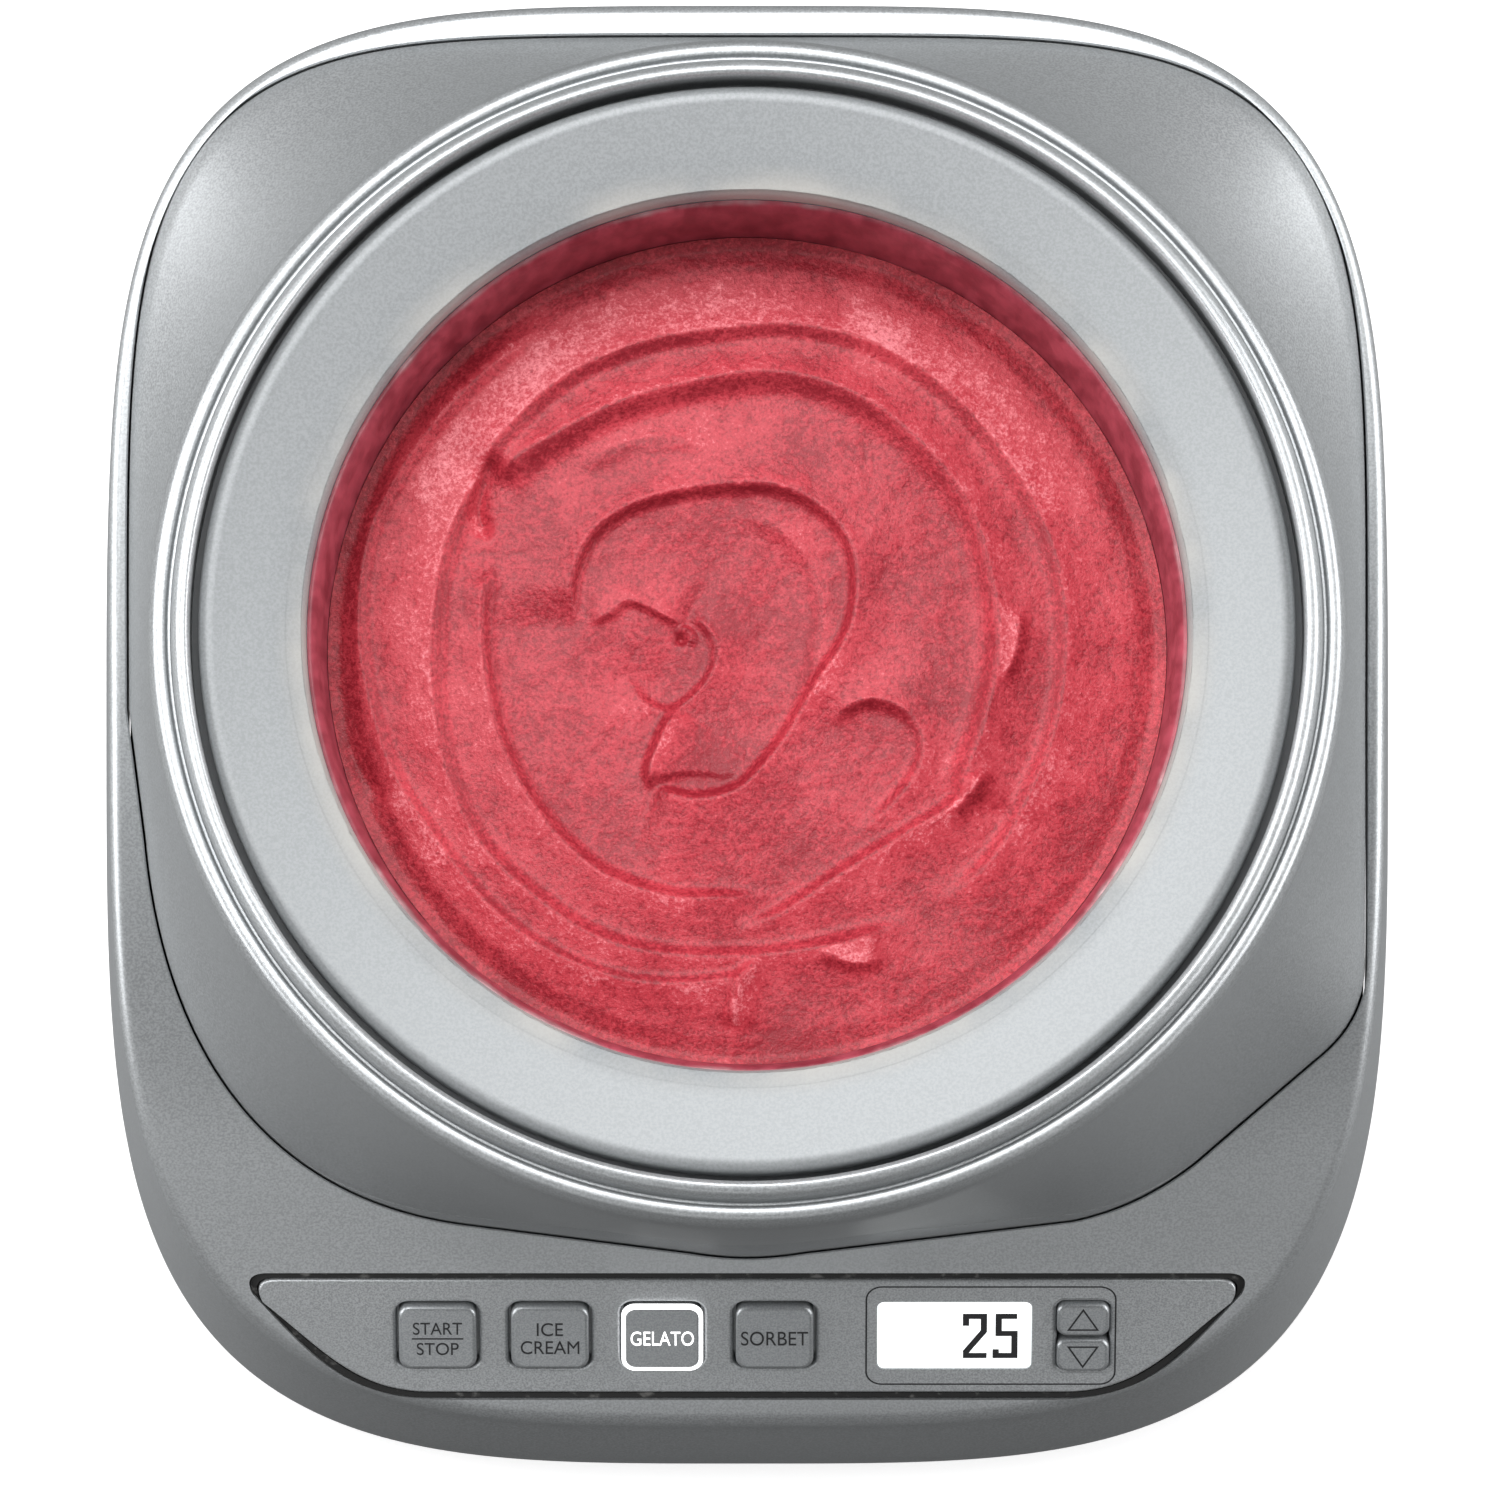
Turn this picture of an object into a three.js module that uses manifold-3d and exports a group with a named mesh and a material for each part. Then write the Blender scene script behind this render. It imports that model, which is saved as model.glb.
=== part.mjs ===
// Electronic ice cream maker, lid off: a painted housing round a turning freezer bowl, a geared motor
// below the bowl and a sloping control deck in front. Millimetres, +Z up, -Y is the front.
// The origin is on the table, on the bowl's axis.
import * as THREE from "three";
import { mergeVertices } from "three/addons/utils/BufferGeometryUtils.js";
import Module from "manifold-3d";

const wasm = await Module();
wasm.setup();

// ---------- driving dimensions ----------
const SHELL_STEPS = 60;
const ROUND_STEPS = 40;
const SMALL_STEPS = 16;
const TINY_STEPS = 8;
const GAP = 0.3;

const WALL = 2.2;
const HALF_WIDTH = 116;
const HALF_DEPTH = 123.75;
const TOP_HALF_WIDTH = 112.8;
const TOP_FRONT = 119.9;
const TOP_BACK = 123.6;
const SHELL_BOTTOM = 3.4;
const TUCK = { inset: 0.9, height: 14 };

const DECK_SLOPE = THREE.MathUtils.degToRad(42);
const DECK_EDGE = { y: -120, z: 42 };
const BAND = { y: -85, rise: 62 };
const BROW = { peak: 89, fall: 0.127 };

const RING_RADIUS = 102.5;
const RING_TOP = 225;
const NECK_RADIUS = 98.5;
const NECK_TOP = 212;
const FLARE = 2.4;

const WELL_RADIUS = 92.3;
const WELL_FOOT_RADIUS = 84.5;
const WELL_FLOOR = 54;
const FLOOR_THICK = 2.4;
const POSTS = { radius: 74, angle: THREE.MathUtils.degToRad(35) };

const RIM_RADIUS = 93.6;
const MOUTH_RADIUS = 75.4;
const LINER_FLOOR = 78;
const LINER_TOP = 212.8;
const BOWL_BASE = 61.8;
const SORBET_EDGE = 190;

const PAN_BOTTOM = 3;
const PAN_FLOOR = 5.6;
const FOOT_RADIUS = 9;
const FOOT_REACH = { x: 82, y: 86 };
const VENTS = { count: 7, width: 3, length: 34, pitch: 7, x: 28, y: -18 };

const PLATE = { bottom: 38, thick: 2, left: -50, right: 46, front: -62, back: 28, inset: 6 };
const OUTPUT_GEAR = { teeth: 48, module: 1.6, bottom: 47, thick: 4.5 };
const IDLER_PINION = { teeth: 10, module: 1.6, bottom: 45.4, thick: 7 };
const IDLER_WHEEL = { teeth: 40, module: 1, bottom: 41.5, thick: 4 };
const MOTOR_PINION = { teeth: 10, module: 1, bottom: 41, thick: 5 };
const IDLER_ANGLE = THREE.MathUtils.degToRad(-150);
const MOTOR_ANGLE = THREE.MathUtils.degToRad(-10);
const SHAFT_RADIUS = 5;
const AXLE_RADIUS = 3;
const RUNNING_FIT = 0.15;
const SHAFT_TOP = 61.5;
const SHAFT_CLIP = { radius: 8.6, bottom: 45.3, top: 46.5 };
const HUB = { radius: 34, bottom: 59, top: 61.4, keyTop: 64, keyLength: 40, keyWidth: 7, keyCore: 12 };

const BASE_SCREW = { head: 4, headHeight: 1.9, shank: 2, length: 15 };
const PLATE_SCREW = { head: 3.2, headHeight: 1.5, shank: 1.5, length: 10 };
const MOTOR_SCREW = { head: 3, headHeight: 1, shank: 1.5, length: 33.5 };
const SCREW_HOLE = 1.9;

const STATOR = { side: 64, bottom: 13, top: 32.6, bore: 14 };
const COIL = { inner: 16, outer: 25, height: 2.9 };
const END_CAP = { side: 56, bottom: 7, top: 9.6 };
const MOTOR_SCREW_REACH = 26;
const POWER_BOARD = { x: 2, y: 84, width: 78, depth: 40, z: 9, thick: 1.6, pegReach: 34 };
const TRANSFORMER = { wide: 30, deep: 26, tall: 24 };
const RELAY = { wide: 16, deep: 19, tall: 15 };
const CORD_BUSH = { x: 66, y: 119.6, z: 22, turn: THREE.MathUtils.degToRad(-13.6), bore: 4.1, radius: 5.6 };

const PANEL_Y = -104.9;
const FASCIA = { halfTop: 88, halfBottom: 57, top: 12.2, bottom: -12.7, thick: 2.2 };
const GASKET = { inside: 0.4, outside: 1.3, opening: 1.65, recess: 0.5 };
const BUTTON = { width: 13.6, height: 13.6, radius: 2.2, proud: 0.9, pitch: 20.1, first: -55.4, hole: 0.5 };
const TIME_KEY = { x: 60.1, width: 9.4, height: 7.1, radius: 1.6, pitch: 7.8, hole: 0.4 };
const DISPLAY = { x: 37.1, width: 27.8, height: 14.9, radius: 1.4 };
const BOARD = { x: 2, width: 138, height: 21, top: -9.6, thick: 1.6 };

// ---------- finishes ----------
const finish = (color, metalness, roughness) =>
  new THREE.MeshStandardMaterial({ color, metalness, roughness });
const PAINT = () => finish(0xb4b8ba, 0.6, 0.4);
const RIM_PAINT = () => finish(0xbcc1c3, 0.5, 0.42);
const BLACK = () => finish(0x17181a, 0.0, 0.55);
const RUBBER = () => finish(0x1c1c1d, 0.0, 0.85);
const ALUMINIUM = () => finish(0xc9cbcd, 1.0, 0.35);
const STEEL = () => finish(0x9c9fa3, 1.0, 0.35);
const BRASS = () => finish(0xb9924b, 1.0, 0.35);
const NYLON = () => finish(0xe9e6da, 0.0, 0.5);
const COPPER = () => finish(0xb0673a, 0.9, 0.4);
const BOARD_GREEN = () => finish(0x1f6b3a, 0.0, 0.5);

// ---------- solids ----------
/** Six times the signed volume, to tell which way the faces point. */
function signedVolume(geometry) {
  const p = geometry.attributes.position;
  const index = geometry.index.array;
  const [a, b, c] = [new THREE.Vector3(), new THREE.Vector3(), new THREE.Vector3()];
  let sum = 0;
  for (let i = 0; i < index.length; i += 3) {
    a.fromBufferAttribute(p, index[i]);
    b.fromBufferAttribute(p, index[i + 1]);
    c.fromBufferAttribute(p, index[i + 2]);
    sum += a.dot(b.cross(c));
  }
  return sum;
}

/** Merges shared corners, drops empty triangles and turns the faces outward. */
function tidy(source) {
  const bare = new THREE.BufferGeometry();
  bare.setAttribute("position", source.attributes.position.clone());
  if (source.index) bare.setIndex(source.index.clone());
  const merged = mergeVertices(bare, 1e-4);
  const old = merged.index.array;
  const kept = [];
  for (let i = 0; i < old.length; i += 3) {
    const [a, b, c] = [old[i], old[i + 1], old[i + 2]];
    if (a !== b && b !== c && c !== a) kept.push(a, b, c);
  }
  merged.setIndex(kept);
  if (signedVolume(merged) < 0) {
    for (let i = 0; i < kept.length; i += 3) [kept[i], kept[i + 1]] = [kept[i + 1], kept[i]];
    merged.setIndex(kept);
  }
  return merged;
}

function toSolid(geometry) {
  const g = tidy(geometry);
  const vertProperties = new Float32Array(g.attributes.position.array);
  const triVerts = new Uint32Array(g.index.array);
  return new wasm.Manifold(new wasm.Mesh({ numProp: 3, vertProperties, triVerts }));
}

function toGeometry(solid) {
  const mesh = solid.getMesh();
  const g = new THREE.BufferGeometry();
  g.setAttribute("position", new THREE.BufferAttribute(new Float32Array(mesh.vertProperties), mesh.numProp));
  g.setIndex(Array.from(mesh.triVerts));
  return g;
}

const cut = (body, tools) => toGeometry(tools.reduce((s, tool) => s.subtract(toSolid(tool)), toSolid(body)));
const join = (body, more) => toGeometry(more.reduce((s, piece) => s.add(toSolid(piece)), toSolid(body)));

/** A solid turned about Z from [radius, z] points that close on themselves or start and end on the axis. */
function turned(profile, steps = ROUND_STEPS) {
  const onAxis = profile[0][0] === 0;
  const points = (onAxis ? profile : [...profile, profile[0]]).map(([r, z]) => new THREE.Vector2(r, z));
  return new THREE.LatheGeometry(points, steps).rotateX(Math.PI / 2);
}

const disc = (radius, bottom, top, steps = SMALL_STEPS) =>
  turned([[0, bottom], [radius, bottom], [radius, top], [0, top]], steps);

const sleeve = (inner, outer, bottom, top, steps = SMALL_STEPS) =>
  turned([[inner, bottom], [outer, bottom], [outer, top], [inner, top]], steps);

const prism = (shape, bottom, top) =>
  new THREE.ExtrudeGeometry(shape, { depth: top - bottom, bevelEnabled: false, curveSegments: 2 })
    .translate(0, 0, bottom);

/** A rounded rectangle, as a Shape centred on (x, y). */
function roundedRect(width, height, radius, x = 0, y = 0) {
  const [w, h] = [width / 2, height / 2];
  const s = new THREE.Shape();
  s.moveTo(x - w + radius, y - h);
  s.lineTo(x + w - radius, y - h);
  s.absarc(x + w - radius, y - h + radius, radius, -Math.PI / 2, 0);
  s.lineTo(x + w, y + h - radius);
  s.absarc(x + w - radius, y + h - radius, radius, 0, Math.PI / 2);
  s.lineTo(x - w + radius, y + h);
  s.absarc(x - w + radius, y + h - radius, radius, Math.PI / 2, Math.PI);
  s.lineTo(x - w, y - h + radius);
  s.absarc(x - w + radius, y - h + radius, radius, Math.PI, Math.PI * 1.5);
  return s;
}

// ---------- outlines round the bowl's axis ----------
/** An outline like a square with very round corners: its distance from the axis at angle a. */
const roundSquare = (half, front, back, frontPower, backPower) => (a) => {
  const [depth, n] = Math.sin(a) < 0 ? [front, frontPower] : [back, backPower];
  return (Math.abs(Math.cos(a) / half) ** n + Math.abs(Math.sin(a) / depth) ** n) ** (-1 / n);
};

const bottomOutline = roundSquare(HALF_WIDTH, HALF_DEPTH, HALF_DEPTH, 3.6, 3.8);
const topOutline = roundSquare(TOP_HALF_WIDTH, TOP_FRONT, TOP_BACK, 3.6, 3.95);
const creaseBack = roundSquare(109, 0, 117.6, 4.6, 4.6);

/** The shoulder's front edge: a blunt V, a tight right corner and a long round left one. */
function shoulderFront() {
  const p = new THREE.Path();
  p.moveTo(-109, 0);
  p.lineTo(-106.2, -22);
  p.bezierCurveTo(-103, -60, -84, -82.5, -50, -86.4);
  p.lineTo(-10, -91);
  p.quadraticCurveTo(0, -92.6, 10, -91);
  p.lineTo(58, -85.8);
  p.quadraticCurveTo(70, -83.5, 80, -76);
  p.lineTo(101, -59);
  p.quadraticCurveTo(109, -53, 109.3, -44);
  p.lineTo(109, 0);
  return p.getPoints(24);
}
const SHOULDER_FRONT = shoulderFront();

/** Where the ray at angle a leaves the shoulder outline. */
function creaseOutline(a) {
  const [dx, dy] = [Math.cos(a), Math.sin(a)];
  if (dy >= -1e-9) return creaseBack(a);
  for (let i = 1; i < SHOULDER_FRONT.length; i += 1) {
    const [p, q] = [SHOULDER_FRONT[i - 1], SHOULDER_FRONT[i]];
    const [sp, sq] = [dx * p.y - dy * p.x, dx * q.y - dy * q.x];
    if (sp * sq <= 0 && sp !== sq) {
      const t = sp / (sp - sq);
      return Math.hypot(p.x + (q.x - p.x) * t, p.y + (q.y - p.y) * t);
    }
  }
  return creaseBack(a);
}

const deckPlane = (y) => DECK_EDGE.z + (y - DECK_EDGE.y) * Math.tan(DECK_SLOPE);

/** Height of the deck and, behind it, of the side band that rises more and more gently to the back. */
function bandHeight(y) {
  if (y < BAND.y) return deckPlane(y);
  return deckPlane(BAND.y) + BAND.rise * (1 - Math.exp((-Math.tan(DECK_SLOPE) * (y - BAND.y)) / BAND.rise));
}

/** Height of the shoulder's edge: the band's height, but raised to a brow over the middle of the deck. */
const creaseHeight = (x, y) => {
  const brow = BROW.peak - BROW.fall * Math.abs(x);
  return y < 0 ? Math.max(bandHeight(y), brow) : bandHeight(y);
};

/** One loop of a loft: radius(a) gives the plan outline and height(x, y) its height. */
function loop(radius, height) {
  return Array.from({ length: SHELL_STEPS }, (_, i) => {
    const a = (i / SHELL_STEPS) * Math.PI * 2;
    const r = radius(a);
    const [x, y] = [r * Math.cos(a), r * Math.sin(a)];
    return new THREE.Vector3(x, y, height(x, y));
  });
}

/** Skins a row of loops. A wrapped loft joins the last loop to the first, an unwrapped one is capped. */
function loft(loops, wrapped) {
  const count = loops[0].length;
  const points = loops.flat();
  const index = [];
  const bands = wrapped ? loops.length : loops.length - 1;
  for (let j = 0; j < bands; j += 1) {
    const [lower, upper] = [j * count, ((j + 1) % loops.length) * count];
    for (let i = 0; i < count; i += 1) {
      const k = (i + 1) % count;
      index.push(lower + i, lower + k, upper + k, lower + i, upper + k, upper + i);
    }
  }
  if (!wrapped) {
    for (const [start, forward] of [[0, false], [(loops.length - 1) * count, true]]) {
      const centre = new THREE.Vector3(0, 0, points[start].z);
      points.push(centre);
      for (let i = 0; i < count; i += 1) {
        const [a, b] = [start + i, start + ((i + 1) % count)];
        index.push(...(forward ? [a, b, points.length - 1] : [b, a, points.length - 1]));
      }
    }
  }
  const g = new THREE.BufferGeometry().setFromPoints(points);
  g.setIndex(index);
  return g;
}

// ---------- placing ----------
const model = new THREE.Group();
const panel = new THREE.Group();
panel.position.set(0, PANEL_Y, deckPlane(PANEL_Y));
panel.rotation.x = DECK_SLOPE;
model.add(panel);

function place(name, geometry, material, parent = model) {
  const mesh = new THREE.Mesh(tidy(geometry), material);
  mesh.name = name;
  parent.add(mesh);
  return mesh;
}

// ---------- housing ----------
/** The lower housing: sloping deck, side bands and outer walls, one wall thick and open below. */
function deckShell() {
  const inner = (a) => creaseOutline(a) + 0.4;
  const edge = (inset) => (a) => topOutline(a) - inset;
  const middle = (a) => (inner(a) + topOutline(a) - 2.2) / 2;
  const bulge = (t, inset) => (a) => THREE.MathUtils.lerp(topOutline(a), bottomOutline(a), t) - inset;
  const top = (drop) => (x, y) => bandHeight(y) - drop;
  const level = (z) => () => z;
  const part = (t) => (x, y) => THREE.MathUtils.lerp(TUCK.height, bandHeight(y) - 4, t);
  return loft([
    loop(inner, top(0)),
    loop(middle, top(0)),
    loop(edge(2.2), top(0)),
    loop(edge(0.7), top(0.9)),
    loop(edge(0), top(3.6)),
    loop(bulge(0.66, 0), part(0.5)),
    loop(bottomOutline, level(TUCK.height)),
    loop((a) => bottomOutline(a) - TUCK.inset, level(SHELL_BOTTOM)),
    loop((a) => bottomOutline(a) - TUCK.inset - WALL, level(SHELL_BOTTOM)),
    loop((a) => bottomOutline(a) - WALL, level(TUCK.height)),
    loop(bulge(0.66, WALL), part(0.5)),
    loop(edge(WALL), top(5)),
    loop((a) => Math.max(topOutline(a) - 4.4, inner(a) + 0.5), top(WALL + 0.9)),
    loop(inner, top(WALL + 0.9)),
  ], true);
}

/** The upper housing, from the shoulder's edge up to the round neck, with a skirt inside the deck. */
function towerShell() {
  const steps = [0.2, 0.4, 0.58, 0.74, 0.88, 1];
  const radius = (u, inset) => (a) => THREE.MathUtils.lerp(NECK_RADIUS, creaseOutline(a), u ** FLARE) - inset;
  const height = (u) => (x, y) => {
    const a = Math.atan2(y, x);
    const edge = creaseOutline(a);
    return THREE.MathUtils.lerp(NECK_TOP, creaseHeight(edge * Math.cos(a), edge * Math.sin(a)), u);
  };
  const crease = (drop) => (x, y) => creaseHeight(x, y) - drop;
  const skirt = (x, y) => bandHeight(y) - 6;
  const outside = [0, ...steps].map((u) => loop(radius(u, 0), height(u)));
  const inside = [0.74, 0.4, 0].map((u) => loop(radius(u, WALL), height(u)));
  return loft([
    ...outside,
    loop(creaseOutline, crease(1.2)),
    loop(creaseOutline, skirt),
    loop((a) => creaseOutline(a) - WALL, skirt),
    loop((a) => creaseOutline(a) - WALL, crease(3)),
    ...inside,
  ], true);
}

/** The ring round the bowl: a rounded outer band, a groove and a raised inner ridge with a flat top. */
const RING_PROFILE = [
  [99.2, 209.5], [101.7, 209.5], [RING_RADIUS, 211.2], [RING_RADIUS, 217.8], [101.8, 220.2], [100.5, 221.4],
  [99.3, 221], [98.9, 219.9], [98.4, 219.9], [98, 223], [96.9, RING_TOP], [95.7, RING_TOP], [95, 223.9],
  [94.9, 214.3], [99.2, 214.3],
];

/** The dry well that the bowl turns in, with posts for the base screws and for the motor plate. */
function bowlWell() {
  const top = WELL_FLOOR + FLOOR_THICK;
  const body = turned([
    [9.3, WELL_FLOOR], [WELL_FOOT_RADIUS + 1.9, WELL_FLOOR], [WELL_RADIUS + 2, NECK_TOP + GAP],
    [98, NECK_TOP + GAP], [98, NECK_TOP + 1.9], [WELL_RADIUS, NECK_TOP + 1.9], [WELL_FOOT_RADIUS, top + 3],
    [WELL_FOOT_RADIUS - 3, top],
    [13, top], [13, top + 1.6], [9.3, top + 1.6],
  ]);
  const post = (x, y, radius, bottom) => disc(radius, bottom, WELL_FLOOR + 1, TINY_STEPS).translate(x, y, 0);
  const hole = (x, y, radius, bottom, topZ) => disc(radius, bottom, topZ, TINY_STEPS).translate(x, y, 0);
  const tall = postPlaces().map(([x, y]) => post(x, y, 5, PAN_FLOOR + 0.5));
  const short = plateCorners().map(([x, y]) => post(x, y, 4.5, PLATE.bottom + PLATE.thick + GAP));
  const holes = [
    ...postPlaces().map(([x, y]) => hole(x, y, 2.3, PAN_FLOOR, PAN_FLOOR + 16)),
    ...plateCorners().map(([x, y]) => hole(x, y, SCREW_HOLE, PLATE.bottom, PLATE.bottom + 11)),
  ];
  return cut(join(body, [...tall, ...short]), holes);
}

/** The well's four long posts, where the base screws go in. */
function postPlaces() {
  const [x, y] = [POSTS.radius * Math.cos(POSTS.angle), POSTS.radius * Math.sin(POSTS.angle)];
  return [[x, y], [-x, y], [-x, -y], [x, -y]];
}

/** The motor plate hangs on three posts. */
function plateCorners() {
  const { left, right, front, back, inset } = PLATE;
  return [[right - inset, back - inset], [left + inset, back - inset], [right - inset, front + inset]];
}

const footPlaces = () => [["front", -1], ["back", 1]].flatMap(([end, sy]) =>
  [["left", -1], ["right", 1]].map(([side, sx]) => [`${end}_${side}`, sx * FOOT_REACH.x, sy * FOOT_REACH.y]));

/** The floor of the housing: a tray with a rim inside the walls, vents, screw holes and board pegs. */
function basePan() {
  const rim = (inset) => (a) => bottomOutline(a) - TUCK.inset - WALL - 0.5 - inset;
  const level = (z) => () => z;
  const tray = loft([
    loop(rim(1), level(PAN_BOTTOM)),
    loop(rim(0), level(PAN_BOTTOM + 1)),
    loop(rim(0), level(12)),
    loop(rim(2), level(12)),
    loop(rim(2), level(PAN_FLOOR)),
  ], false);
  const standoffs = boardPegPlaces().map(([x, y]) => turned([
    [0, PAN_FLOOR - 1], [3.4, PAN_FLOOR - 1], [3.4, POWER_BOARD.z - GAP], [1.4, POWER_BOARD.z - GAP],
    [1.4, POWER_BOARD.z + POWER_BOARD.thick + 1.2], [0, POWER_BOARD.z + POWER_BOARD.thick + 2],
  ], TINY_STEPS).translate(x, y, 0));
  const through = (x, y, radius) => disc(radius, PAN_BOTTOM - 2, PAN_FLOOR + 2, TINY_STEPS).translate(x, y, 0);
  const holes = [
    ...footPlaces().map(([, x, y]) => through(x, y, 3.4)),
    ...postPlaces().map(([x, y]) => through(x, y, 2.5)),
  ];
  const vent = () => new THREE.BoxGeometry(VENTS.width, VENTS.length, 12);
  const vents = Array.from({ length: VENTS.count }, (_, i) =>
    vent().translate(VENTS.x + i * VENTS.pitch, VENTS.y, PAN_BOTTOM));
  return cut(join(tray, standoffs), [...holes, ...vents]);
}

const foot = () => turned([
  [0, 0], [FOOT_RADIUS - 0.6, 0], [FOOT_RADIUS, 0.7], [FOOT_RADIUS, PAN_BOTTOM - GAP], [3, PAN_BOTTOM - GAP],
  [3, PAN_FLOOR + GAP], [4.3, PAN_FLOOR + GAP + 0.1], [3, PAN_FLOOR + 3], [0, PAN_FLOOR + 3],
], SMALL_STEPS);

/** A pan-head screw pointing up: the head's top face is at z = 0 and the shank runs up to length. */
const screw = ({ head, headHeight, shank, length }) => turned([
  [0, 0], [head * 0.7, 0], [head, headHeight * 0.5], [head, headHeight],
  [shank, headHeight], [shank, length], [0, length + shank],
], TINY_STEPS);

// ---------- bowl ----------
const BOWL_RIM_PROFILE = [
  [RIM_RADIUS, 217], [RIM_RADIUS, 221.3], [92.8, 222.2], [91.4, 222.4], [79, 220], [76.6, 218.8],
  [MOUTH_RADIUS, 216.4], [MOUTH_RADIUS - 0.1, 213.2], [77.1, 213.2], [77.6, 216.6], [91.2, 219], [91.8, 217],
];
const LINER_OUTSIDE = [[62, 76.5], [66.8, 80.5], [75, LINER_TOP]];
const LINER_INSIDE = [[73.6, LINER_TOP], [65.4, 81.4], [61.2, LINER_FLOOR], [0, LINER_FLOOR]];
const OUTER_OUTSIDE = [[76, 64.6], [82.4, 70], [90.6, 216]];
const OUTER_INSIDE = [[88.6, 216], [80.5, 71.4], [75.2, 66.8], [0, 66.8]];
const COOLANT = [
  [0, 67.1], [75, 67.1], [80.1, 71.6], [87.8, 209.5], [75.3, 209.5], [67.2, 80.3], [62.3, 76.1], [0, 76.1],
];
const SEAL_PROFILE = [[78.2, 212.6], [87.6, 212.6], [87.6, 215.8], [84, 216.4], [78.2, 215.6]];
const SORBET_PROFILE = [
  [0, LINER_FLOOR + 0.4], [61, LINER_FLOOR + 0.4], [65, 81.8], [71.7, SORBET_EDGE],
  [67, 191.4], [56, 193.2], [44, 192.2], [33, 193.6], [22, 192.6], [12, 190.2], [0, 188.6],
];

/** The bowl's driven foot: a flat ring whose middle takes the hub's cross. */
function bowlBaseCap() {
  return cut(disc(40, BOWL_BASE, 64.3, ROUND_STEPS), [driveCross(0.4, BOWL_BASE - 1, 65.5)]);
}

/** The cross-shaped key that turns the bowl, grown by grow. */
function driveCross(grow, bottom, top) {
  const arm = (turn) => new THREE.BoxGeometry(HUB.keyLength + grow * 2, HUB.keyWidth + grow * 2, top - bottom)
    .translate(0, 0, (bottom + top) / 2).rotateZ(turn);
  return join(disc(HUB.keyCore + grow, bottom, top), [arm(0), arm(Math.PI / 2)]);
}

// ---------- drive ----------
const pitchRadius = (gear) => (gear.teeth * gear.module) / 2;
const IDLER_SPAN = pitchRadius(OUTPUT_GEAR) + pitchRadius(IDLER_PINION);
const MOTOR_SPAN = pitchRadius(IDLER_WHEEL) + pitchRadius(MOTOR_PINION);
const IDLER_PLACE = new THREE.Vector2(IDLER_SPAN * Math.cos(IDLER_ANGLE), IDLER_SPAN * Math.sin(IDLER_ANGLE));
const MOTOR_PLACE = new THREE.Vector2(Math.cos(MOTOR_ANGLE), Math.sin(MOTOR_ANGLE)).multiplyScalar(MOTOR_SPAN)
  .add(IDLER_PLACE);

/** A spur gear with straight-sided teeth and one tooth, or one space, centred on angle phase. */
function gear({ teeth, module, bottom, thick }, phase, toothAtPhase, bore) {
  const radius = (teeth * module) / 2;
  const pitch = (Math.PI * 2) / teeth;
  const [root, tip] = [radius - module * 1.2, radius + module * 0.85];
  const start = phase + (toothAtPhase ? 0 : pitch / 2);
  const shape = new THREE.Shape();
  for (let i = 0; i < teeth; i += 1) {
    const a = start + i * pitch;
    const corner = (r, turn) => [r * Math.cos(a + turn * pitch), r * Math.sin(a + turn * pitch)];
    const [first, ...rest] = [corner(root, -0.33), corner(tip, -0.1), corner(tip, 0.1), corner(root, 0.33)];
    if (i === 0) shape.moveTo(...first);
    else shape.lineTo(...first);
    for (const point of rest) shape.lineTo(...point);
  }
  const hole = new THREE.Path();
  hole.absarc(0, 0, bore, 0, Math.PI * 2, true);
  shape.holes.push(hole);
  return new THREE.ExtrudeGeometry(shape, { depth: thick, bevelEnabled: false, curveSegments: 8 })
    .translate(0, 0, bottom);
}

/** The wheel and the pinion of the idler, moulded as one. */
function idlerGear() {
  const bore = AXLE_RADIUS + RUNNING_FIT;
  const wheel = gear(IDLER_WHEEL, MOTOR_ANGLE, true, bore);
  const pinion = gear(IDLER_PINION, IDLER_ANGLE + Math.PI, false, bore);
  return join(wheel, [pinion]);
}

function motorPlate() {
  const { left, right, front, back, bottom, thick } = PLATE;
  const outline = roundedRect(right - left, back - front, 5, (left + right) / 2, (front + back) / 2);
  const hole = (x, y, radius) => disc(radius, bottom - 1, bottom + thick + 1, TINY_STEPS).translate(x, y, 0);
  return cut(prism(outline, bottom, bottom + thick), [
    ...plateCorners().map(([x, y]) => hole(x, y, SCREW_HOLE)),
    ...motorScrewPlaces().map(([x, y]) => hole(x, y, SCREW_HOLE)),
    hole(IDLER_PLACE.x, IDLER_PLACE.y, AXLE_RADIUS + GAP),
    disc(6.4, bottom - 1, bottom + thick + 1).translate(MOTOR_PLACE.x, MOTOR_PLACE.y, 0),
  ]);
}

const motorScrewPlaces = () => [[-1, 1], [1, -1]]
  .map(([sx, sy]) => [MOTOR_PLACE.x + sx * MOTOR_SCREW_REACH, MOTOR_PLACE.y + sy * MOTOR_SCREW_REACH]);

/** A square block with a bore, centred on the motor's axis, with holes for its two long screws. */
function motorBlock(side, bottom, top, bore) {
  const body = prism(roundedRect(side, side, 6), bottom, top);
  const holes = motorScrewPlaces().map(([x, y]) => disc(SCREW_HOLE, bottom - 1, top + 1, TINY_STEPS)
    .translate(x - MOTOR_PLACE.x, y - MOTOR_PLACE.y, 0));
  return cut(body, [disc(bore, bottom - 1, top + 1), ...holes]);
}

const boardPegPlaces = () => [-1, 1]
  .map((side) => [POWER_BOARD.x + side * POWER_BOARD.pegReach, POWER_BOARD.y]);

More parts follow.
